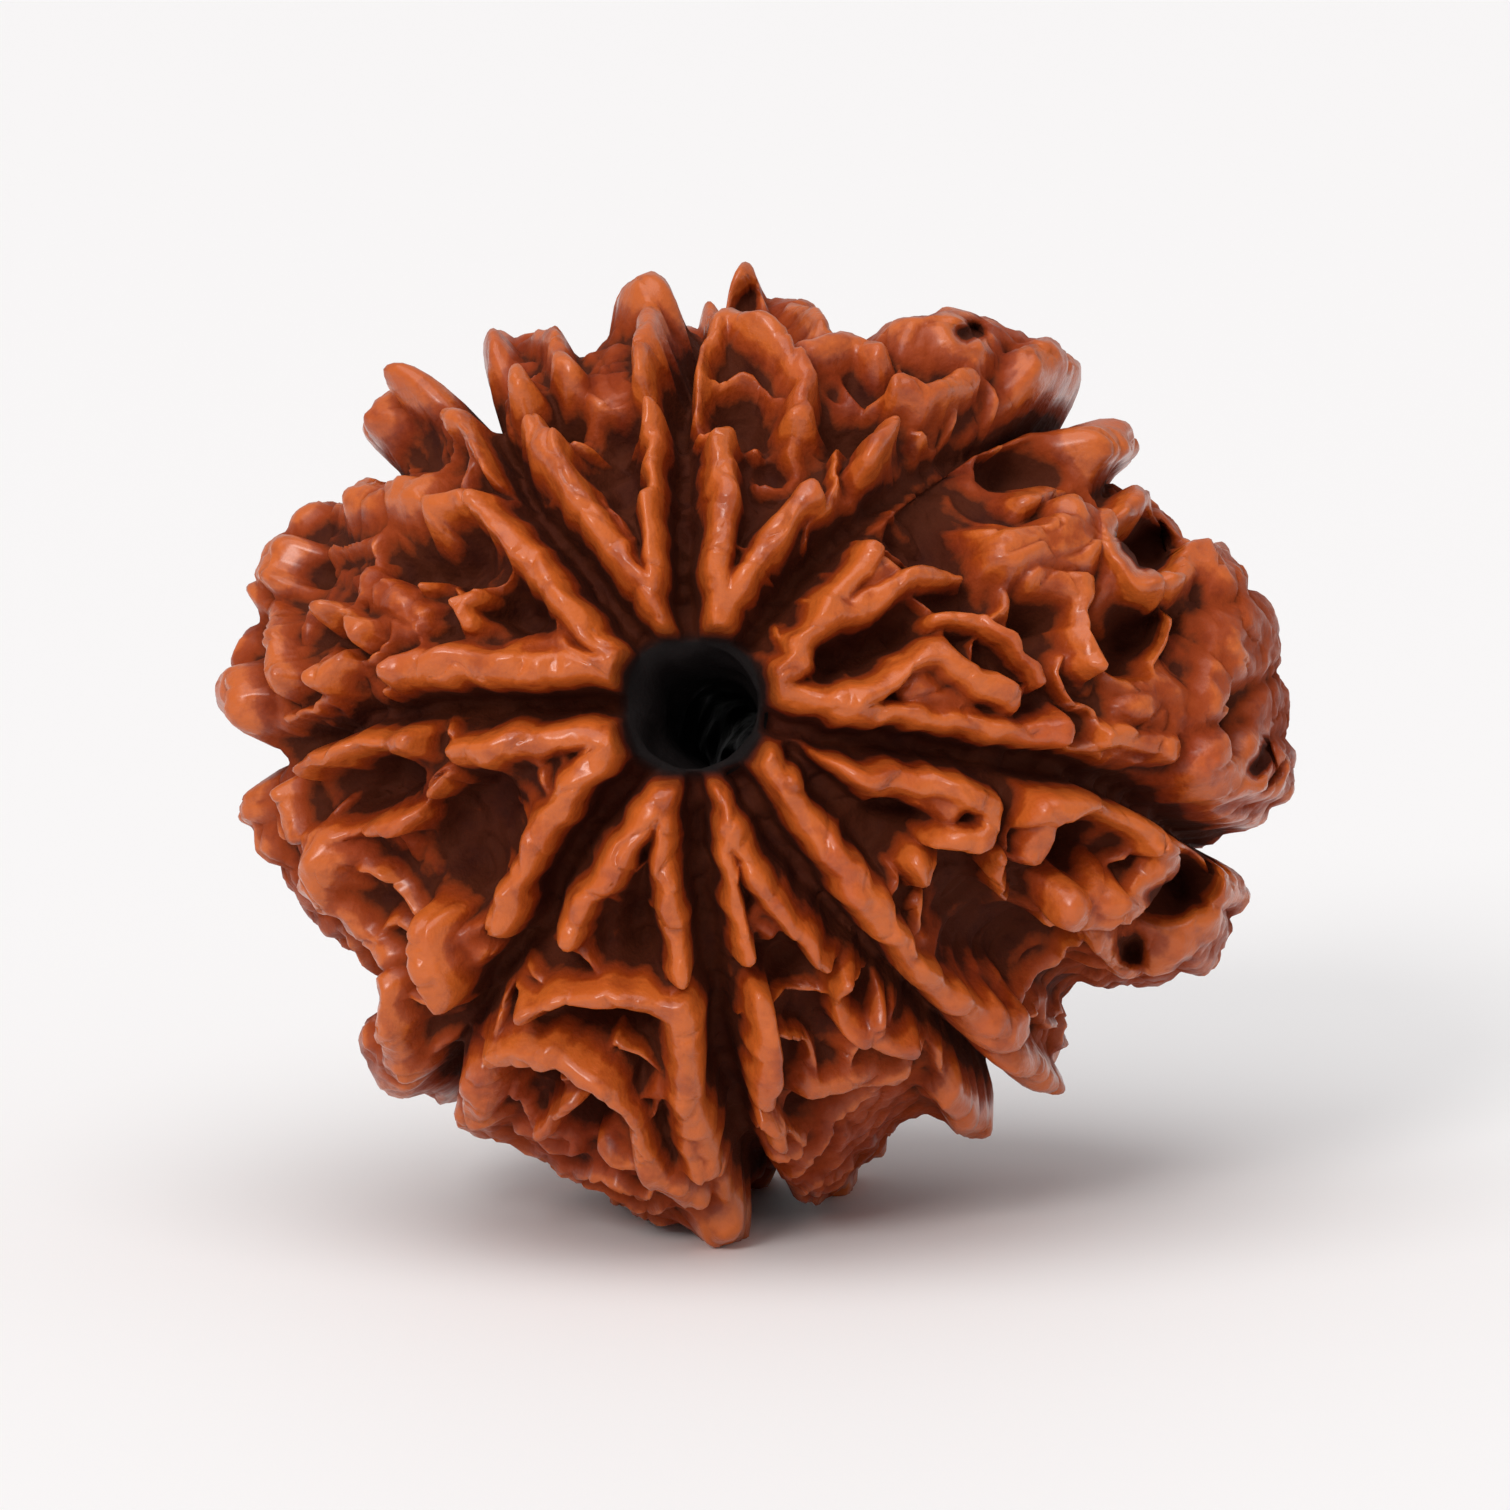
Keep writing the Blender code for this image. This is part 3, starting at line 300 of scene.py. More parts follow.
# The unseen back follows one rule for each face: two ribs from the mouth, a bar, knobs and pits.
# Sides are shares of the way across a face, latitudes are in degrees, and pairs are limits of a draw.
beadBack = {
    "ribWidth": 0.46,
    "ribTop": 0.45,
    "ribSides": (0.24, 0.76),
    "ribSpread": (0.15, 0.7, 1.0, 1.0),
    "ribStart": (80, 68),
    "ribEnds": (38, 52),
    "endKnobGap": (9, 13),
    "endKnobTurn": (0.06, 0.12),
    "endKnobLength": 14,
    "endKnobWidth": (0.5, 0.7),
    "endKnobTop": (0.3, 0.6),
    "barGap": (2, 6),
    "barPlaces": ((0.28, 0), (0.5, 3), (0.72, 0)),
    "barWidth": 0.40,
    "barTop": 0.30,
    "knobs": 5,
    "knobSide": (0.14, 0.86),
    "knobLatitude": (10, 38),
    "knobReach": (0.09, 7),
    "knobWidth": (0.35, 0.6),
    "knobTop": (0.15, 0.55),
    "pits": 3,
    "pitSide": (0.3, 0.7),
    "pitLatitude": (12, 58),
    "pitRadius": (0.4, 0.7),
    "pitDepth": (1.5, 2.1),
}


def bodyReach(angles):
    marks = np.radians([degrees for degrees, _ in beadReach])
    radii = np.array([radius for _, radius in beadReach])
    marks = np.concatenate((marks, [marks[0] + math.tau]))
    radii = np.concatenate((radii, [radii[0]]))
    turned = np.mod(angles - marks[0], math.tau) + marks[0]
    index = np.clip(np.searchsorted(marks, turned, side="right") - 1, 0, len(radii) - 2)
    share = (turned - marks[index]) / (marks[index + 1] - marks[index])
    return radii[index] + (radii[index + 1] - radii[index]) * share * share * (3 - 2 * share)


def bodyPoints(angle, radius, height):  # height is towards the front on the turned shape
    stretch = 1 + (bodyReach(angle) / bead["bodyRadius"] - 1) * radius / bead["bodyRadius"]
    shift = height / (bead["bodyDepth"] / 2)
    x = bead["mouthShift"][0] * shift + radius * stretch * np.cos(angle)
    z = bead["mouthShift"][1] * shift + radius * stretch * np.sin(angle)
    return np.stack((x, -height, z), axis=-1)


def profileAt(latitude):
    power = 2 / bead["fullness"]
    radius = bead["bodyRadius"] * np.abs(np.cos(latitude)) ** power
    height = bead["bodyDepth"] / 2 * np.abs(np.sin(latitude)) ** power
    return radius, -np.sign(latitude) * height


def onFront(degrees, distance):  # the angle and latitude of a place that the front shows
    turn = math.radians(degrees)
    seen = bead["mouthShift"] + distance * np.array((math.cos(turn), math.sin(turn)))
    rise, share, rounds = 0.8, 0.5, 30  # two first guesses, which each round brings nearer
    for _ in range(rounds):
        out = seen - bead["mouthShift"] * rise
        angle = math.atan2(out[1], out[0])
        reach = float(bodyReach(np.array(angle)))
        share = min(1.0, np.hypot(*out) / (bead["bodyRadius"] + (reach - bead["bodyRadius"]) * share))
        rise = 0.5 * rise + 0.5 * (1 - share ** bead["fullness"]) ** (1 / bead["fullness"])
    return angle, -math.acos(share ** (bead["fullness"] / 2))


def onBody(angle, latitude):
    radius, height = profileAt(latitude)
    return bodyPoints(angle, radius, height)


def outwardAt(angle, latitude):
    step = 0.01
    around = onBody(angle + step, latitude) - onBody(angle - step, latitude)
    along = onBody(angle, latitude - step) - onBody(angle, latitude + step)
    normal = np.cross(around, along)
    return normal / np.linalg.norm(normal, axis=-1, keepdims=True)


def frontPath(places):
    return [onBody(*onFront(*place)) for place in places]


def meridian(angle, first, last, step=6):
    count = max(2, round(abs(last - first) / step) + 1)
    return [onBody(angle, math.radians(latitude)) for latitude in np.linspace(first, last, count)]


def rimPaths(rows):  # half width, top and path of each, which is seen to reach its place
    made = []
    for degrees, reach, halfWidth, first, last in rows:
        turn = math.radians(degrees)
        tip = bead["mouthShift"] + reach * np.array((math.cos(turn), math.sin(turn)))
        tops, path = [], []
        for latitude in np.radians(np.linspace(first, last, rimPlaces)):
            radius, height = profileAt(latitude)
            out = tip - bead["mouthShift"] * height / (bead["bodyDepth"] / 2)
            angle = math.atan2(out[1], out[0])
            reached = float(bodyReach(np.array(angle)))
            stretch = 1 + (reached / bead["bodyRadius"] - 1) * radius / bead["bodyRadius"]
            tops.append((np.hypot(*out) - radius * stretch) / math.cos(latitude))
            path.append(onBody(angle, latitude))
        made.append((halfWidth, min(tops), path))
    return made


def feetPaths():
    down = np.array((0.0, math.sin(bead["lean"]), -math.cos(bead["lean"])))
    made = []
    for degrees, latitude, halfWidth in beadFeet:
        angle, middle = math.radians(degrees), math.radians(latitude)
        outward = outwardAt(angle, middle)
        top = (bead["tableDepth"] - onBody(angle, middle) @ down) / (outward @ down)
        ends = latitude - bead["footReach"], latitude + bead["footReach"]
        made.append((halfWidth, top, meridian(angle, *ends)))
    return made


def furrowPaths():  # over the front by its places, then on at one angle to the back mouth
    paths = []
    for places in beadFurrows:
        angle, _ = onFront(*places[-1])
        paths.append(frontPath(places) + meridian(angle, *bead["furrowBack"]))
    return paths


def backFeatures():
    draw = random.Random(bead["seed"])
    rims = sorted(onFront(*places[-1])[0] % math.tau for places in beadFurrows)
    crests, pits = [], []
    for first, last in zip(rims, rims[1:] + [rims[0] + math.tau]):
        def across(share):
            return first + (last - first) * share

        ends = [draw.uniform(*beadBack["ribEnds"]) for _ in range(2)]
        mouthward, rimward = beadBack["ribStart"]
        for side, end in zip(beadBack["ribSides"], ends):
            spread = [0.5 + (side - 0.5) * reach for reach in beadBack["ribSpread"]]
            latitudes = (mouthward, rimward, (rimward + end) / 2, end)
            path = [onBody(across(s), math.radians(t)) for s, t in zip(spread, latitudes)]
            crests.append((beadBack["ribWidth"], beadBack["ribTop"], path))
            knob = end - draw.uniform(*beadBack["endKnobGap"])
            wide = draw.uniform(*beadBack["endKnobTurn"]) * (1 if side > 0.5 else -1)
            places = ((side, knob), (side + wide, knob - beadBack["endKnobLength"]))
            path = [onBody(across(s), math.radians(t)) for s, t in places]
            halfWidth = draw.uniform(*beadBack["endKnobWidth"])
            crests.append((halfWidth, draw.uniform(*beadBack["endKnobTop"]), path))
        bar = min(ends) - draw.uniform(*beadBack["barGap"])
        path = [onBody(across(s), math.radians(bar + t)) for s, t in beadBack["barPlaces"]]
        crests.append((beadBack["barWidth"], beadBack["barTop"], path))
        for _ in range(beadBack["knobs"]):
            share = draw.uniform(*beadBack["knobSide"])
            latitude = draw.uniform(*beadBack["knobLatitude"])
            turn = draw.uniform(0, math.pi)
            aside, along = beadBack["knobReach"]
            far = (share + aside * math.cos(turn), latitude + along * math.sin(turn))
            path = [onBody(across(s), math.radians(t)) for s, t in ((share, latitude), far)]
            halfWidth = draw.uniform(*beadBack["knobWidth"])
            crests.append((halfWidth, draw.uniform(*beadBack["knobTop"]), path))
        for _ in range(beadBack["pits"]):
            side = draw.uniform(*beadBack["pitSide"])
            place = onBody(across(side), math.radians(draw.uniform(*beadBack["pitLatitude"])))
            radius = draw.uniform(*beadBack["pitRadius"])
            pits.append((radius, draw.uniform(*beadBack["pitDepth"]), [place]))
    return crests, pits


def distanceTo(points, path):
    if len(path) == 1:
        return np.linalg.norm(points - path[0], axis=1)
    nearest = np.full(len(points), np.inf)
    for start, end in zip(path, path[1:]):
        along = end - start
        share = np.clip((points - start) @ along / (along @ along), 0, 1)
        nearest = np.minimum(nearest, np.linalg.norm(points - start - share[:, None] * along, axis=1))
    return nearest


def closeness(points, path, halfWidth, power):  # which points are near the path, and 0 to 1 for each
    far = bead["sectionEnd"]
    corners = np.array(path)
    low, high = corners.min(axis=0) - far * halfWidth, corners.max(axis=0) + far * halfWidth
    near = np.flatnonzero(np.all((points > low) & (points < high), axis=1))
    share = 1 / (1 + (distanceTo(points[near], path) / halfWidth) ** power)
    least = 1 / (1 + far ** power)
    return near, np.maximum(share - least, 0) / (1 - least)


def noiseAt(places, size):
    return np.array([noise.noise((x / size, y / size, z / size)) for x, y, z in places])


def noiseShift(places, size):
    return np.array([noise.noise_vector((x / size, y / size, z / size)) for x, y, z in places])


def relief(points, floor):  # the real surface's height over the smooth body
    places = points.tolist()
    backCrests, backPits = backFeatures()
    frontCrests = [(width, top, frontPath(path)) for width, top, path in beadCrests]
    wobble = bead["wobble"][1] * noiseShift(places, bead["wobble"][0])
    bend = bead["unseenBend"][1] * noiseShift(places, bead["unseenBend"][0])
    middle, length = bead["unseenFade"]
    unseen = np.clip(middle + points[:, 1] / length, 0, 1)
    fray = bead["fray"][1] * noiseShift(places, bead["fray"][0])
    wobbled = points + wobble + fray
    warped = wobbled + bend * unseen[:, None]
    steadier = points + bead["steadyShare"] * wobble + fray
    lumps = bead["lumps"][1] * noiseAt(places, bead["lumps"][0])
    lumps += bead["wrinkles"][1] * np.abs(noiseAt(places, bead["wrinkles"][0]))
    size, share, rise = bead["winding"]
    winding = np.clip(1 - np.abs(noiseAt(wobbled.tolist(), size)) / share, 0, 1)
    ground = -rise * floor * winding * winding * (3 - 2 * winding)
    total = np.exp(bead["blend"] * lumps) + np.exp(bead["blend"] * ground) - 1
    swell = 1 + (bead["swell"][1] + bead["swell"][2] * unseen) * noiseAt(places, bead["swell"][0])
    for halfWidth, top, path in frontCrests + backCrests:
        near, share = closeness(warped, path, halfWidth, bead["crestPower"])
        excess = np.maximum(top - floor[near], 0) * swell[near] * share
        total[near] += np.exp(bead["blend"] * excess) - 1
    for halfWidth, top, path in rimPaths(rimRidges) + feetPaths():
        near, share = closeness(steadier, path, halfWidth, bead["rimPower"])
        excess = np.maximum(top - floor[near], 0) * share
        total[near] += np.exp(bead["blend"] * excess) - 1
    height = floor + np.log(total) / bead["blend"]
    pits = [(radius, depth, frontPath(path)) for radius, depth, path in beadPits]
    for radius, depth, path in pits + backPits:
        near, share = closeness(warped, path, radius, bead["pitPower"])
        height[near] -= (height[near] + depth) * share * bead["pitShare"]
    for halfWidth, top, path in rimPaths(rimNotches):
        near, share = closeness(steadier, path, halfWidth, bead["pitPower"])
        height[near] -= np.maximum(height[near] - top, 0) * share
    for path in furrowPaths():
        near, share = closeness(steadier, path, bead["furrowWidth"], bead["pitPower"])
        height[near] -= (height[near] + bead["furrowDepth"]) * share
    for size, rise in (bead["knobbly"], bead["grain"], bead["grit"]):
        height += rise * noiseAt(places, size)
    size, share, depth = bead["creases"]
    height -= depth * np.clip(1 - np.abs(noiseAt(wobbled.tolist(), size)) / share, 0, 1)
    return height


def sunkBack(points):  # how far the hollows near the rim move each point straight back
    size, bend = bead["uneven"]
    bent = noiseShift(points.reshape(-1, 3).tolist(), size).reshape(points.shape)
    seen = points[..., (0, 2)] - bead["mouthShift"] + bend * bent[..., (0, 2)]
    sunk = np.zeros(points.shape[:-1])
    lipMiddle, lipWidth = bead["lipPlace"]
    power = bead["pitPower"]
    for degrees, distance, radius, depth, lip in beadHollows:
        turn = math.radians(degrees)
        gap = np.linalg.norm(seen - distance * np.array((math.cos(turn), math.sin(turn))), axis=-1)
        around = (gap - lipMiddle * radius) / (lipWidth * radius)
        sunk += depth / (1 + (gap / radius) ** power) - lip / (1 + around ** power)
    middle, length = bead["frontFade"]
    front = np.clip(middle - points[..., 1] / length, 0, 1)
    return sunk * front * front * (3 - 2 * front)


def floorOf(height):  # deepest in the faces, and less deep at the rim
    start, slope = bead["rimSpread"]
    rim = np.clip(start - slope * np.abs(height) / (bead["bodyDepth"] / 2), 0, 1)
    return bead["faceFloor"] + (bead["rimFloor"] - bead["faceFloor"]) * rim


def turnedProfile():  # (radius, height) along the outside arc and back through the bore, front mouth up
    mouth = math.acos((bead["mouthRadius"] / bead["bodyRadius"]) ** (bead["fullness"] / 2))
    latitudes = np.linspace(-mouth, mouth, bead["outsideSteps"])
    outside = np.stack(profileAt(latitudes), axis=1)
    lip = outside[-1][1] + bead["mouthSink"]
    heights = np.linspace(lip, -lip, bead["boreSteps"] + 1)[1:-1]
    inward = (abs(lip) - np.abs(heights)) / bead["funnelDepth"]
    narrowed = np.exp(-bead["funnelCurve"] * inward)
    radii = bead["boreRadius"] + (bead["mouthRadius"] - bead["boreRadius"]) * narrowed
    return latitudes, np.concatenate((outside, np.stack((radii, heights), axis=1)))


def flatGrid(columns, rows):
    shape = bmesh.new()
    bmesh.ops.create_grid(shape, x_segments=columns, y_segments=rows, size=1)
    mesh = bpy.data.meshes.new("bead")
    shape.to_mesh(mesh)
    shape.free()
    return mesh


def readPoints(mesh):
    points = np.empty(len(mesh.vertices) * 3, np.float32)
    mesh.vertices.foreach_get("co", points)
    return points.reshape(-1, 3).astype(float)


def writePoints(mesh, points):
    mesh.vertices.foreach_set("co", points.astype(np.float32).ravel())
    mesh.update()


def runningMean(values, half):  # along the first axis, over half the window each way
    sums = np.cumsum(values, axis=0)
    sums = np.concatenate((np.zeros_like(sums[:1]), sums))
    return (sums[2 * half + 1:] - sums[:-2 * half - 1]) / (2 * half + 1)


def blurred(grid, window, radii, step):  # a box blur about as wide as the window in mm
    mixed = np.empty_like(grid)
    for column, radius in enumerate(radii):
        half = int(np.clip(window / 2 / (math.tau * radius / len(grid)), 1, len(grid) // 4))
        line = grid[:, column]
        mixed[:, column] = runningMean(np.concatenate((line[-half:], line, line[:half])), half)
    half = max(1, round(window / 2 / step))
    ends = (np.repeat(mixed[:, :1], half, axis=1), mixed, np.repeat(mixed[:, -1:], half, axis=1))
    return runningMean(np.concatenate(ends, axis=1).T, half).T


def roughenBore(points, height, lip):  # moves the points where they are
    size, most = bead["boreNoise"]
    inside = np.clip(1 - np.abs(height) / lip, 0, bead["boreFade"]) / bead["boreFade"]
    rough = noiseShift(points.reshape(-1, 3).tolist(), size).reshape(points.shape)
    points += most * inside[..., None] * rough


def raisedRing(latitudes, profile):  # its points, how far each outside one rises, and where relief shows
    steps, outsideCount = bead["ringSteps"], bead["outsideSteps"]
    angles = np.arange(steps) / steps * math.tau
    angle, radius = np.meshgrid(angles, profile[:, 0], indexing="ij")
    height = np.broadcast_to(profile[:, 1], angle.shape)
    points = bodyPoints(angle, radius, height)
    outside = np.s_[:, :outsideCount]
    square = bead["mouthSquare"] * (1 - np.cos(4 * angle[outside]))  # wider across the mouth's corners
    shown = np.clip((radius[outside] - bead["mouthRadius"] - square) / bead["mouthFade"], 0, 1)
    shown = shown * shown * (3 - 2 * shown)
    floor = floorOf(height[outside].ravel())
    raised = relief(points[outside].reshape(-1, 3), floor).reshape(steps, outsideCount)
    rise = raised * shown - bead["mouthSink"] * (1 - shown)
    normals = outwardAt(angle[outside], np.broadcast_to(latitudes, rise.shape))
    points[outside] += normals * rise[..., None]
    sunk = sunkBack(points[outside])
    points[outside][..., 1] += sunk
    lip = abs(profile[outsideCount - 1, 1])
    roughenBore(points[:, outsideCount:], height[:, outsideCount:], lip)
    print("relief raised on", points.shape[0] * points.shape[1], "points")
    return points, rise - sunk, shown


def marksOf(rise, shown, profile):  # for the colours: the hole, and how far each point stands out
    shape, outside = (len(rise), len(profile)), np.s_[:, :rise.shape[1]]
    rings = profile[:rise.shape[1]]
    marks = {"bore": np.ones(shape)}
    marks["bore"][outside] = 1 - shown
    spacing = np.hypot(*np.diff(rings, axis=0).T).mean()
    for name, window in bead["standings"]:
        around = blurred(rise, window, rings[:, 0], spacing)
        around = blurred(around, window, rings[:, 0], spacing)
        marks[name] = np.zeros(shape)
        marks[name][outside] = rise - around
    return marks


def setDown(points):  # leaned back, with its feet worn flat, and fitted to the CAD node's box
    y = points[..., 1] * math.cos(bead["lean"]) + points[..., 2] * math.sin(bead["lean"])
    z = points[..., 2] * math.cos(bead["lean"]) - points[..., 1] * math.sin(bead["lean"])
    z = np.maximum(z + bead["tableDepth"] - bead["wornDepth"], 0)
    stood = np.stack((points[..., 0], y, z), axis=-1)
    least, most = stood.min(axis=(0, 1)), stood.max(axis=(0, 1))
    low, high = (np.array(corner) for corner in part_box("bead"))
    low = low + np.array(bead["spareLow"]) * mm
    high = high - np.array(bead["spareHigh"]) * mm
    print("size in mm:", np.round(most - least, 2), "fitted to", np.round((high - low) / mm, 2))
    return low + (stood - least) / (most - least) * (high - low)


def bentRing(stood, marks):  # a flat grid with its points moved to the ring's, seams still open
    steps, count = stood.shape[:2]
    mesh = flatGrid(steps, count)
    flat = readPoints(mesh)
    across = np.round((1 - flat[:, 0]) / 2 * steps).astype(int) % steps
    along = np.round((flat[:, 1] + 1) / 2 * count).astype(int) % count
    writePoints(mesh, stood[across, along])
    for name, values in marks.items():
        attribute = mesh.attributes.new(name, "FLOAT", "POINT")
        attribute.data.foreach_set("value", values[across, along].astype(np.float32))
    return mesh


def closedAndThinned(mesh):
    dense = bpy.data.objects.new("denseBead", mesh)
    bpy.context.scene.collection.objects.link(dense)
    seams = dense.modifiers.new("seams", "WELD")
    seams.merge_threshold = bead["weldReach"] * mm
    thin = dense.modifiers.new("thin", "DECIMATE")
    thin.ratio = bead["triangles"] / (2 * len(mesh.polygons))
    bpy.context.view_layer.update()
    thinned = bpy.data.meshes.new_from_object(dense.evaluated_get(bpy.context.evaluated_depsgraph_get()))
    bpy.data.objects.remove(dense)
    bpy.data.meshes.remove(mesh)
    thinned.name = "bead"
    thinned.shade_smooth()
    print("bead thinned to", len(thinned.polygons), "faces")
    return thinned


def grownBead():
    latitudes, profile = turnedProfile()
    points, rise, shown = raisedRing(latitudes, profile)
    marks = marksOf(rise, shown, profile)
    piece = bpy.data.objects.new("seedStone", closedAndThinned(bentRing(setDown(points), marks)))
    bpy.context.scene.collection.objects.link(piece)
    return piece


# without a seed the noise would differ from run to run
noise.seed_set(bead["seed"])
seedStone = grownBead()

# A mottle is its scale per mm, the noise's values that turn into 0 and 1, and its strength.
finish = {
    # the edge mark's large share lifts the crests' tops into a painted highlight
    "shares": (("crest", 0.55), ("stand", 0.3), ("edge", 1.7)),  # of each mark in how open a place is
    "cloudy": (0.9, 0.2, 0.8, 0.36),
    "fleck": (3.2, 0.25, 0.75, 0.24),
    "lift": 0.13,
    # the dark low stops are partly the stone's own dark hollows and partly painted shade; the top stop
    # is a painted highlight on the crests' tops
    "tonesAndPaintedLight": (  # from the furrows' ground to the crests' tops
        (0.00, (0.068, 0.0120, 0.003)),
        (0.14, (0.160, 0.0245, 0.004)),
        (0.30, (0.225, 0.031, 0.004)),
        (0.52, (0.265, 0.037, 0.004)),
        (0.80, (0.325, 0.050, 0.005)),
        (1.00, (0.50, 0.104, 0.015)),
    ),
    "patches": (0.33, 0.48, 0.72, 0.55),
    "patchTint": (0.72, 0.42, 0.55),
    "spots": (1.15, 0.5, 0.68, 0.6),
    "spotTint": (0.45, 0.26, 0.3),
    # the hole's near-black colour is painted shade
    "boreShade": (0.006, 0.004, 0.004),
    "roughOpen": (0.3, 0.9),  # the openness between which the roughness falls
    "roughness": (0.8, 0.34),
    "specular": 0.14,
    "coatOpen": (0.45, 1.0),
    "coat": (0.0, 0.55),
    "coatRoughness": 0.24,
    "cloudDetail": (5, 0.6),
    "grain": (6.0, 4),
    "bump": (0.6, 0.06),  # strength, and depth in mm
}


def addNode(tree, kind, **values):
    node = tree.nodes.new(kind)
    for name, value in values.items():
        setattr(node, name, value)
    return node


def calculated(tree, operation, first, second):
    node = addNode(tree, "ShaderNodeMath", operation=operation)
    for socket, value in zip(node.inputs, (first, second)):
        if isinstance(value, (int, float)):
            socket.default_value = value
        else:
            tree.links.new(value, socket)
    return node.outputs[0]


def ramp(tree, value, stops):
    node = addNode(tree, "ShaderNodeValToRGB")
    tree.links.new(value, node.inputs["Fac"])
    elements = node.color_ramp.elements
    while len(elements) < len(stops):
        elements.new(0.5)
    for element, (position, color) in zip(elements, stops):
        element.position = position
        element.color = (*color, 1)
    return node.outputs["Color"]


def spreadOut(tree, value, limits, results):
    node = addNode(tree, "ShaderNodeMapRange")
    tree.links.new(value, node.inputs["Value"])
    for name, limit in zip(("From Min", "From Max", "To Min", "To Max"), (*limits, *results)):
        node.inputs[name].default_value = limit
    return node.outputs["Result"]


def mixColor(tree, factor, first, second, blend="MIX"):
    node = addNode(tree, "ShaderNodeMix", data_type="RGBA", blend_type=blend)
    sockets = (node.inputs["Factor"], node.inputs[6], node.inputs[7])
    for socket, value in zip(sockets, (factor, first, second)):
        if isinstance(value, (int, float)):
            socket.default_value = value
        elif isinstance(value, tuple):
            socket.default_value = (*value, 1)
        else:
            tree.links.new(value, socket)
    return node.outputs[2]


def mottleGroup():
    group = bpy.data.node_groups.new("mottle", "ShaderNodeTree")
    group.interface.new_socket("Vector", in_out="INPUT", socket_type="NodeSocketVector")
    for name in ("Scale", "Low", "High"):
        group.interface.new_socket(name, in_out="INPUT", socket_type="NodeSocketFloat")
    group.interface.new_socket("Mask", in_out="OUTPUT", socket_type="NodeSocketFloat")
    inside = addNode(group, "NodeGroupInput")
    outside = addNode(group, "NodeGroupOutput")
    cloud = addNode(group, "ShaderNodeTexNoise")
    detail, rough = finish["cloudDetail"]
    cloud.inputs["Detail"].default_value = detail
    cloud.inputs["Roughness"].default_value = rough
    group.links.new(inside.outputs["Vector"], cloud.inputs["Vector"])
    group.links.new(inside.outputs["Scale"], cloud.inputs["Scale"])
    spread = addNode(group, "ShaderNodeMapRange")
    group.links.new(cloud.outputs["Fac"], spread.inputs["Value"])
    group.links.new(inside.outputs["Low"], spread.inputs["From Min"])
    group.links.new(inside.outputs["High"], spread.inputs["From Max"])
    group.links.new(spread.outputs["Result"], outside.inputs["Mask"])
    return group


def mottle(tree, group, coordinates, name):
    scale, low, high, strength = finish[name]
    node = addNode(tree, "ShaderNodeGroup", node_tree=group)
    tree.links.new(coordinates, node.inputs["Vector"])
    node.inputs["Scale"].default_value = scale
    node.inputs["Low"].default_value = low
    node.inputs["High"].default_value = high
    return calculated(tree, "MULTIPLY", node.outputs["Mask"], strength)


def attributeValue(tree, name):
    return addNode(tree, "ShaderNodeAttribute", attribute_name=name).outputs["Fac"]


def stoneMaterial():
    material = bpy.data.materials.new("oiledSeedStone")
    material.use_nodes = True
    tree = material.node_tree
    shader = tree.nodes["Principled BSDF"]
    group = mottleGroup()
    coordinates = addNode(tree, "ShaderNodeTexCoord").outputs["Object"]
    inMm = addNode(tree, "ShaderNodeMapping")
    inMm.inputs["Scale"].default_value = (1 / mm, 1 / mm, 1 / mm)
    tree.links.new(coordinates, inMm.inputs["Vector"])
    places = inMm.outputs["Vector"]
    bore = attributeValue(tree, "bore")

    # how open each place is, which sets the colour: near black in the furrows, partly the stone's own
    # dark hollows and partly painted shade, red-brown on the flanks, orange on the crests with a painted
    # highlight along their tops
    opennessWithPaintedLight = finish["lift"]
    for name in ("cloudy", "fleck"):
        opennessWithPaintedLight = calculated(tree, "ADD", mottle(tree, group, places, name), opennessWithPaintedLight)
    for name, share in finish["shares"]:
        weighed = calculated(tree, "MULTIPLY", attributeValue(tree, name), share)
        opennessWithPaintedLight = calculated(tree, "ADD", opennessWithPaintedLight, weighed)
    color = ramp(tree, opennessWithPaintedLight, finish["tonesAndPaintedLight"])
    # red-brown patches, then small dark spots, then the hole, painted near black as shade
    patches = mottle(tree, group, places, "patches")
    color = mixColor(tree, patches, color, finish["patchTint"], "MULTIPLY")
    spots = mottle(tree, group, places, "spots")
    color = mixColor(tree, spots, color, finish["spotTint"], "MULTIPLY")
    color = mixColor(tree, bore, color, finish["boreShade"])
    tree.links.new(color, shader.inputs["Base Color"])

    # the oil shines on the crests and not in the hole
    rough = spreadOut(tree, opennessWithPaintedLight, finish["roughOpen"], finish["roughness"])
    tree.links.new(rough, shader.inputs["Roughness"])
    shader.inputs["Specular IOR Level"].default_value = finish["specular"]
    oiled = spreadOut(tree, opennessWithPaintedLight, finish["coatOpen"], finish["coat"])
    outer = calculated(tree, "SUBTRACT", 1.0, bore)
    tree.links.new(calculated(tree, "MULTIPLY", oiled, outer), shader.inputs["Coat Weight"])
    shader.inputs["Coat Roughness"].default_value = finish["coatRoughness"]

    scale, detail = finish["grain"]
    grain = addNode(tree, "ShaderNodeTexNoise")
    grain.inputs["Scale"].default_value = scale
    grain.inputs["Detail"].default_value = detail
    tree.links.new(places, grain.inputs["Vector"])
    strength, depth = finish["bump"]
    bump = addNode(tree, "ShaderNodeBump")
    bump.inputs["Strength"].default_value = strength
    bump.inputs["Distance"].default_value = depth * mm
    tree.links.new(grain.outputs["Fac"], bump.inputs["Height"])
    tree.links.new(bump.outputs["Normal"], shader.inputs["Normal"])
    return material


seedStone.data.materials.clear()
seedStone.data.materials.append(stoneMaterial())
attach(seedStone, "root")
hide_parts("bead")
print("stone finished")


table = {
    "radius": 3.0,
    "corners": 96,
    "color": (0.9, 0.895, 0.9),
    "roughness": 0.6,
}


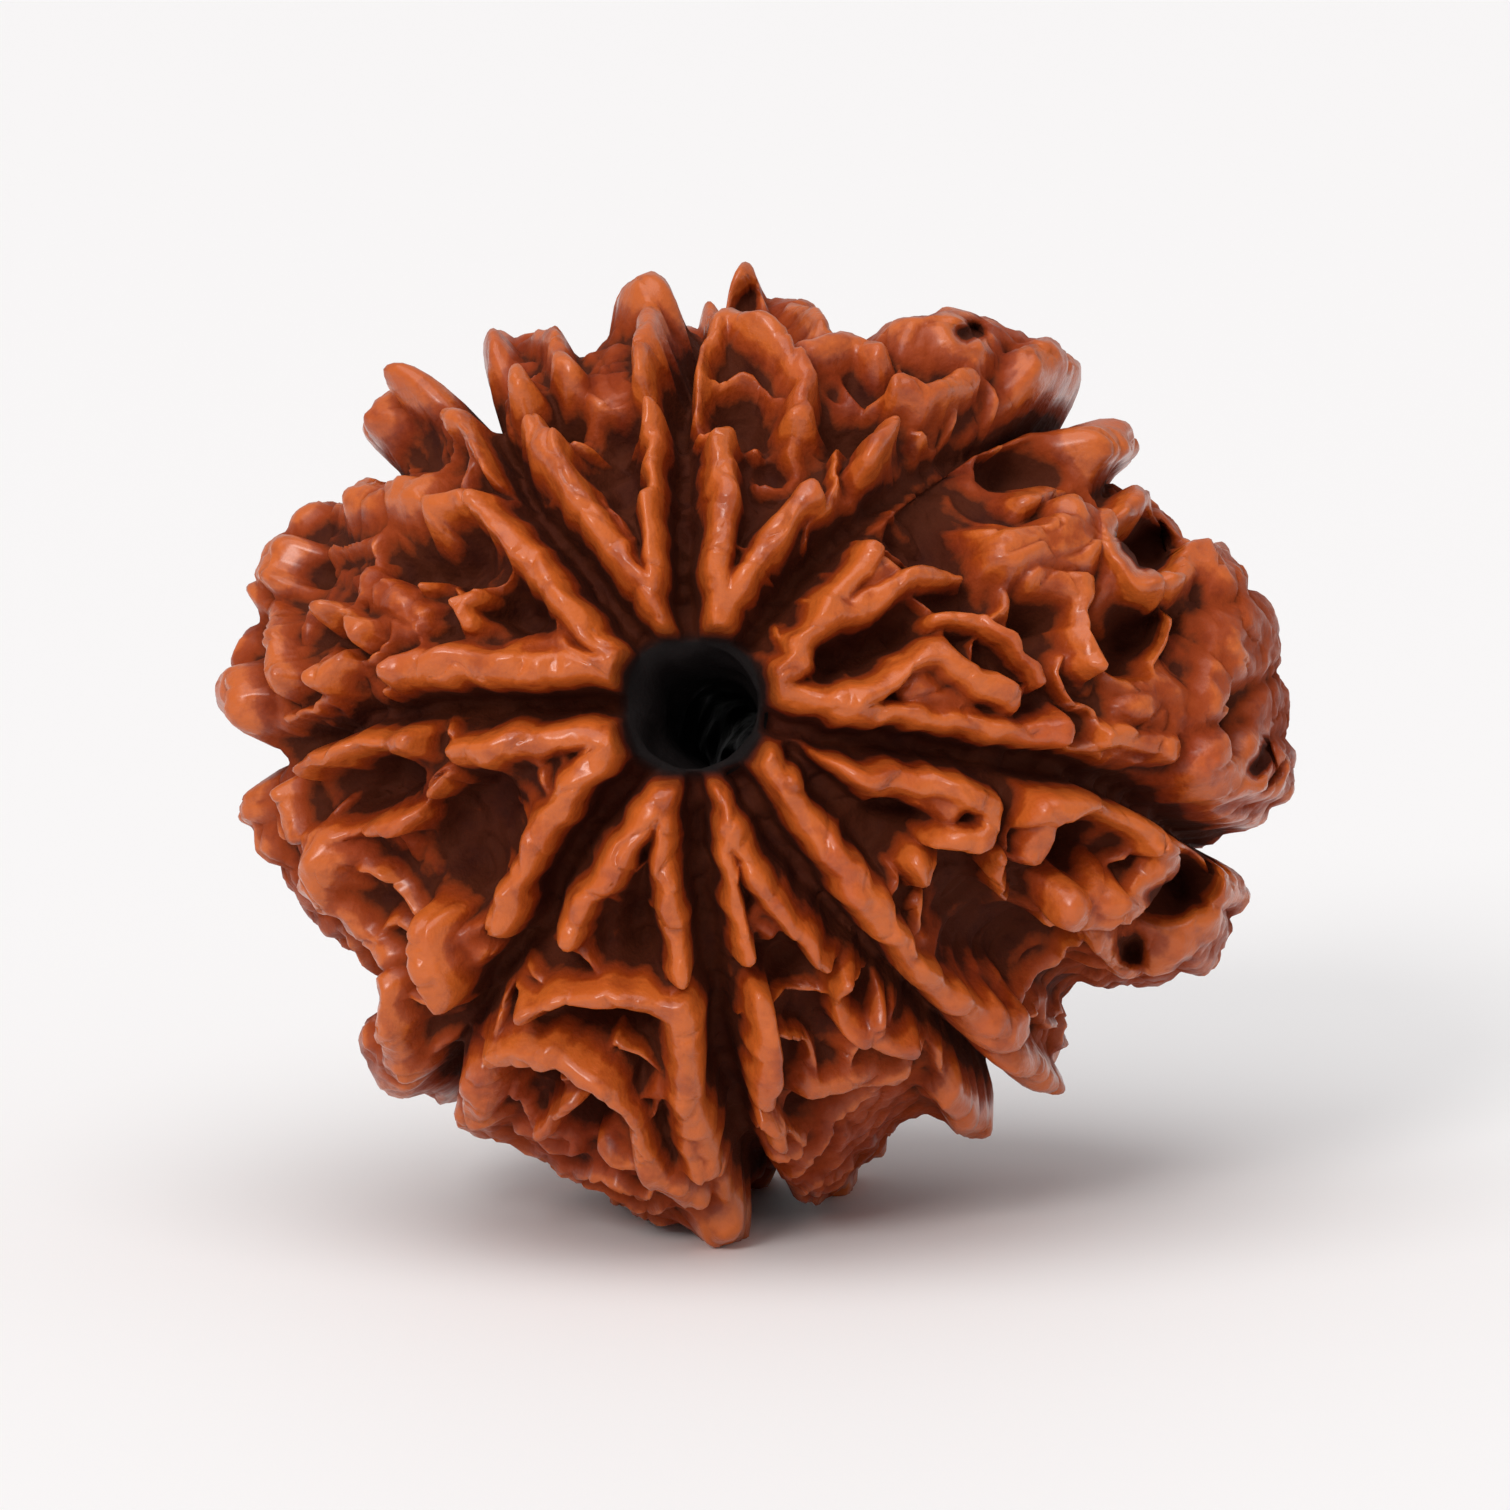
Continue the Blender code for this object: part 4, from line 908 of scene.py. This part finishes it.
def paleTable():
    shape = bmesh.new()
    bmesh.ops.create_circle(shape, cap_ends=True, segments=table["corners"], radius=table["radius"])
    mesh = bpy.data.meshes.new("table")
    shape.to_mesh(mesh)
    shape.free()
    material = bpy.data.materials.new("paleTable")
    material.use_nodes = True
    shader = material.node_tree.nodes["Principled BSDF"]
    shader.inputs["Base Color"].default_value = (*table["color"], 1)
    shader.inputs["Roughness"].default_value = table["roughness"]
    mesh.materials.append(material)
    piece = bpy.data.objects.new("table", mesh)
    bpy.context.scene.collection.objects.link(piece)


paleTable()

studio = {
    "world": 0.5,
    "worldColor": (1, 0.985, 0.99),
    "suns": (  # name, the direction it shines from, strength, width in degrees, colour
        ("overheadSun", (-0.15, -0.45, 1.0), 1.5, 60, (1.0, 0.99, 0.98)),
        ("frontLeftSun", (-0.45, -1.0, 0.6), 1.2, 16, (1.0, 0.985, 0.96)),
    ),
    "target": (-0.00012, 0.0, 0.01087),
    "distance": 0.2,
    "elevation": math.radians(9),
    "seenWidth": 0.03508,  # of the photograph's frame at the bead
    "sensor": 36.0,  # in mm
    "clipStart": 0.01,
}


def aimed(name, data, place, target):
    piece = bpy.data.objects.new(name, data)
    piece.location = place
    piece.rotation_euler = (Vector(target) - Vector(place)).to_track_quat("-Z", "Y").to_euler()
    bpy.context.scene.collection.objects.link(piece)
    return piece


def lightStudio():
    for name, place, strength, width, color in studio["suns"]:
        light = bpy.data.lights.new(name, "SUN")
        light.energy = strength
        light.angle = math.radians(width)
        light.color = color
        aimed(name, light, place, (0, 0, 0))
    world = bpy.data.worlds.new("paleRoom")
    world.use_nodes = True
    background = world.node_tree.nodes["Background"]
    background.inputs["Color"].default_value = (*studio["worldColor"], 1)
    background.inputs["Strength"].default_value = studio["world"]
    bpy.context.scene.world = world
    bpy.context.scene.view_settings.view_transform = "Standard"
    camera = bpy.data.cameras.new("camera")
    camera.sensor_width = studio["sensor"]
    camera.lens = studio["sensor"] * studio["distance"] / studio["seenWidth"]
    camera.clip_start = studio["clipStart"]
    target = Vector(studio["target"])
    back = Vector((0, -math.cos(studio["elevation"]), math.sin(studio["elevation"])))
    bpy.context.scene.camera = aimed("camera", camera, target + back * studio["distance"], target)


lightStudio()
print("table, lights and camera placed")
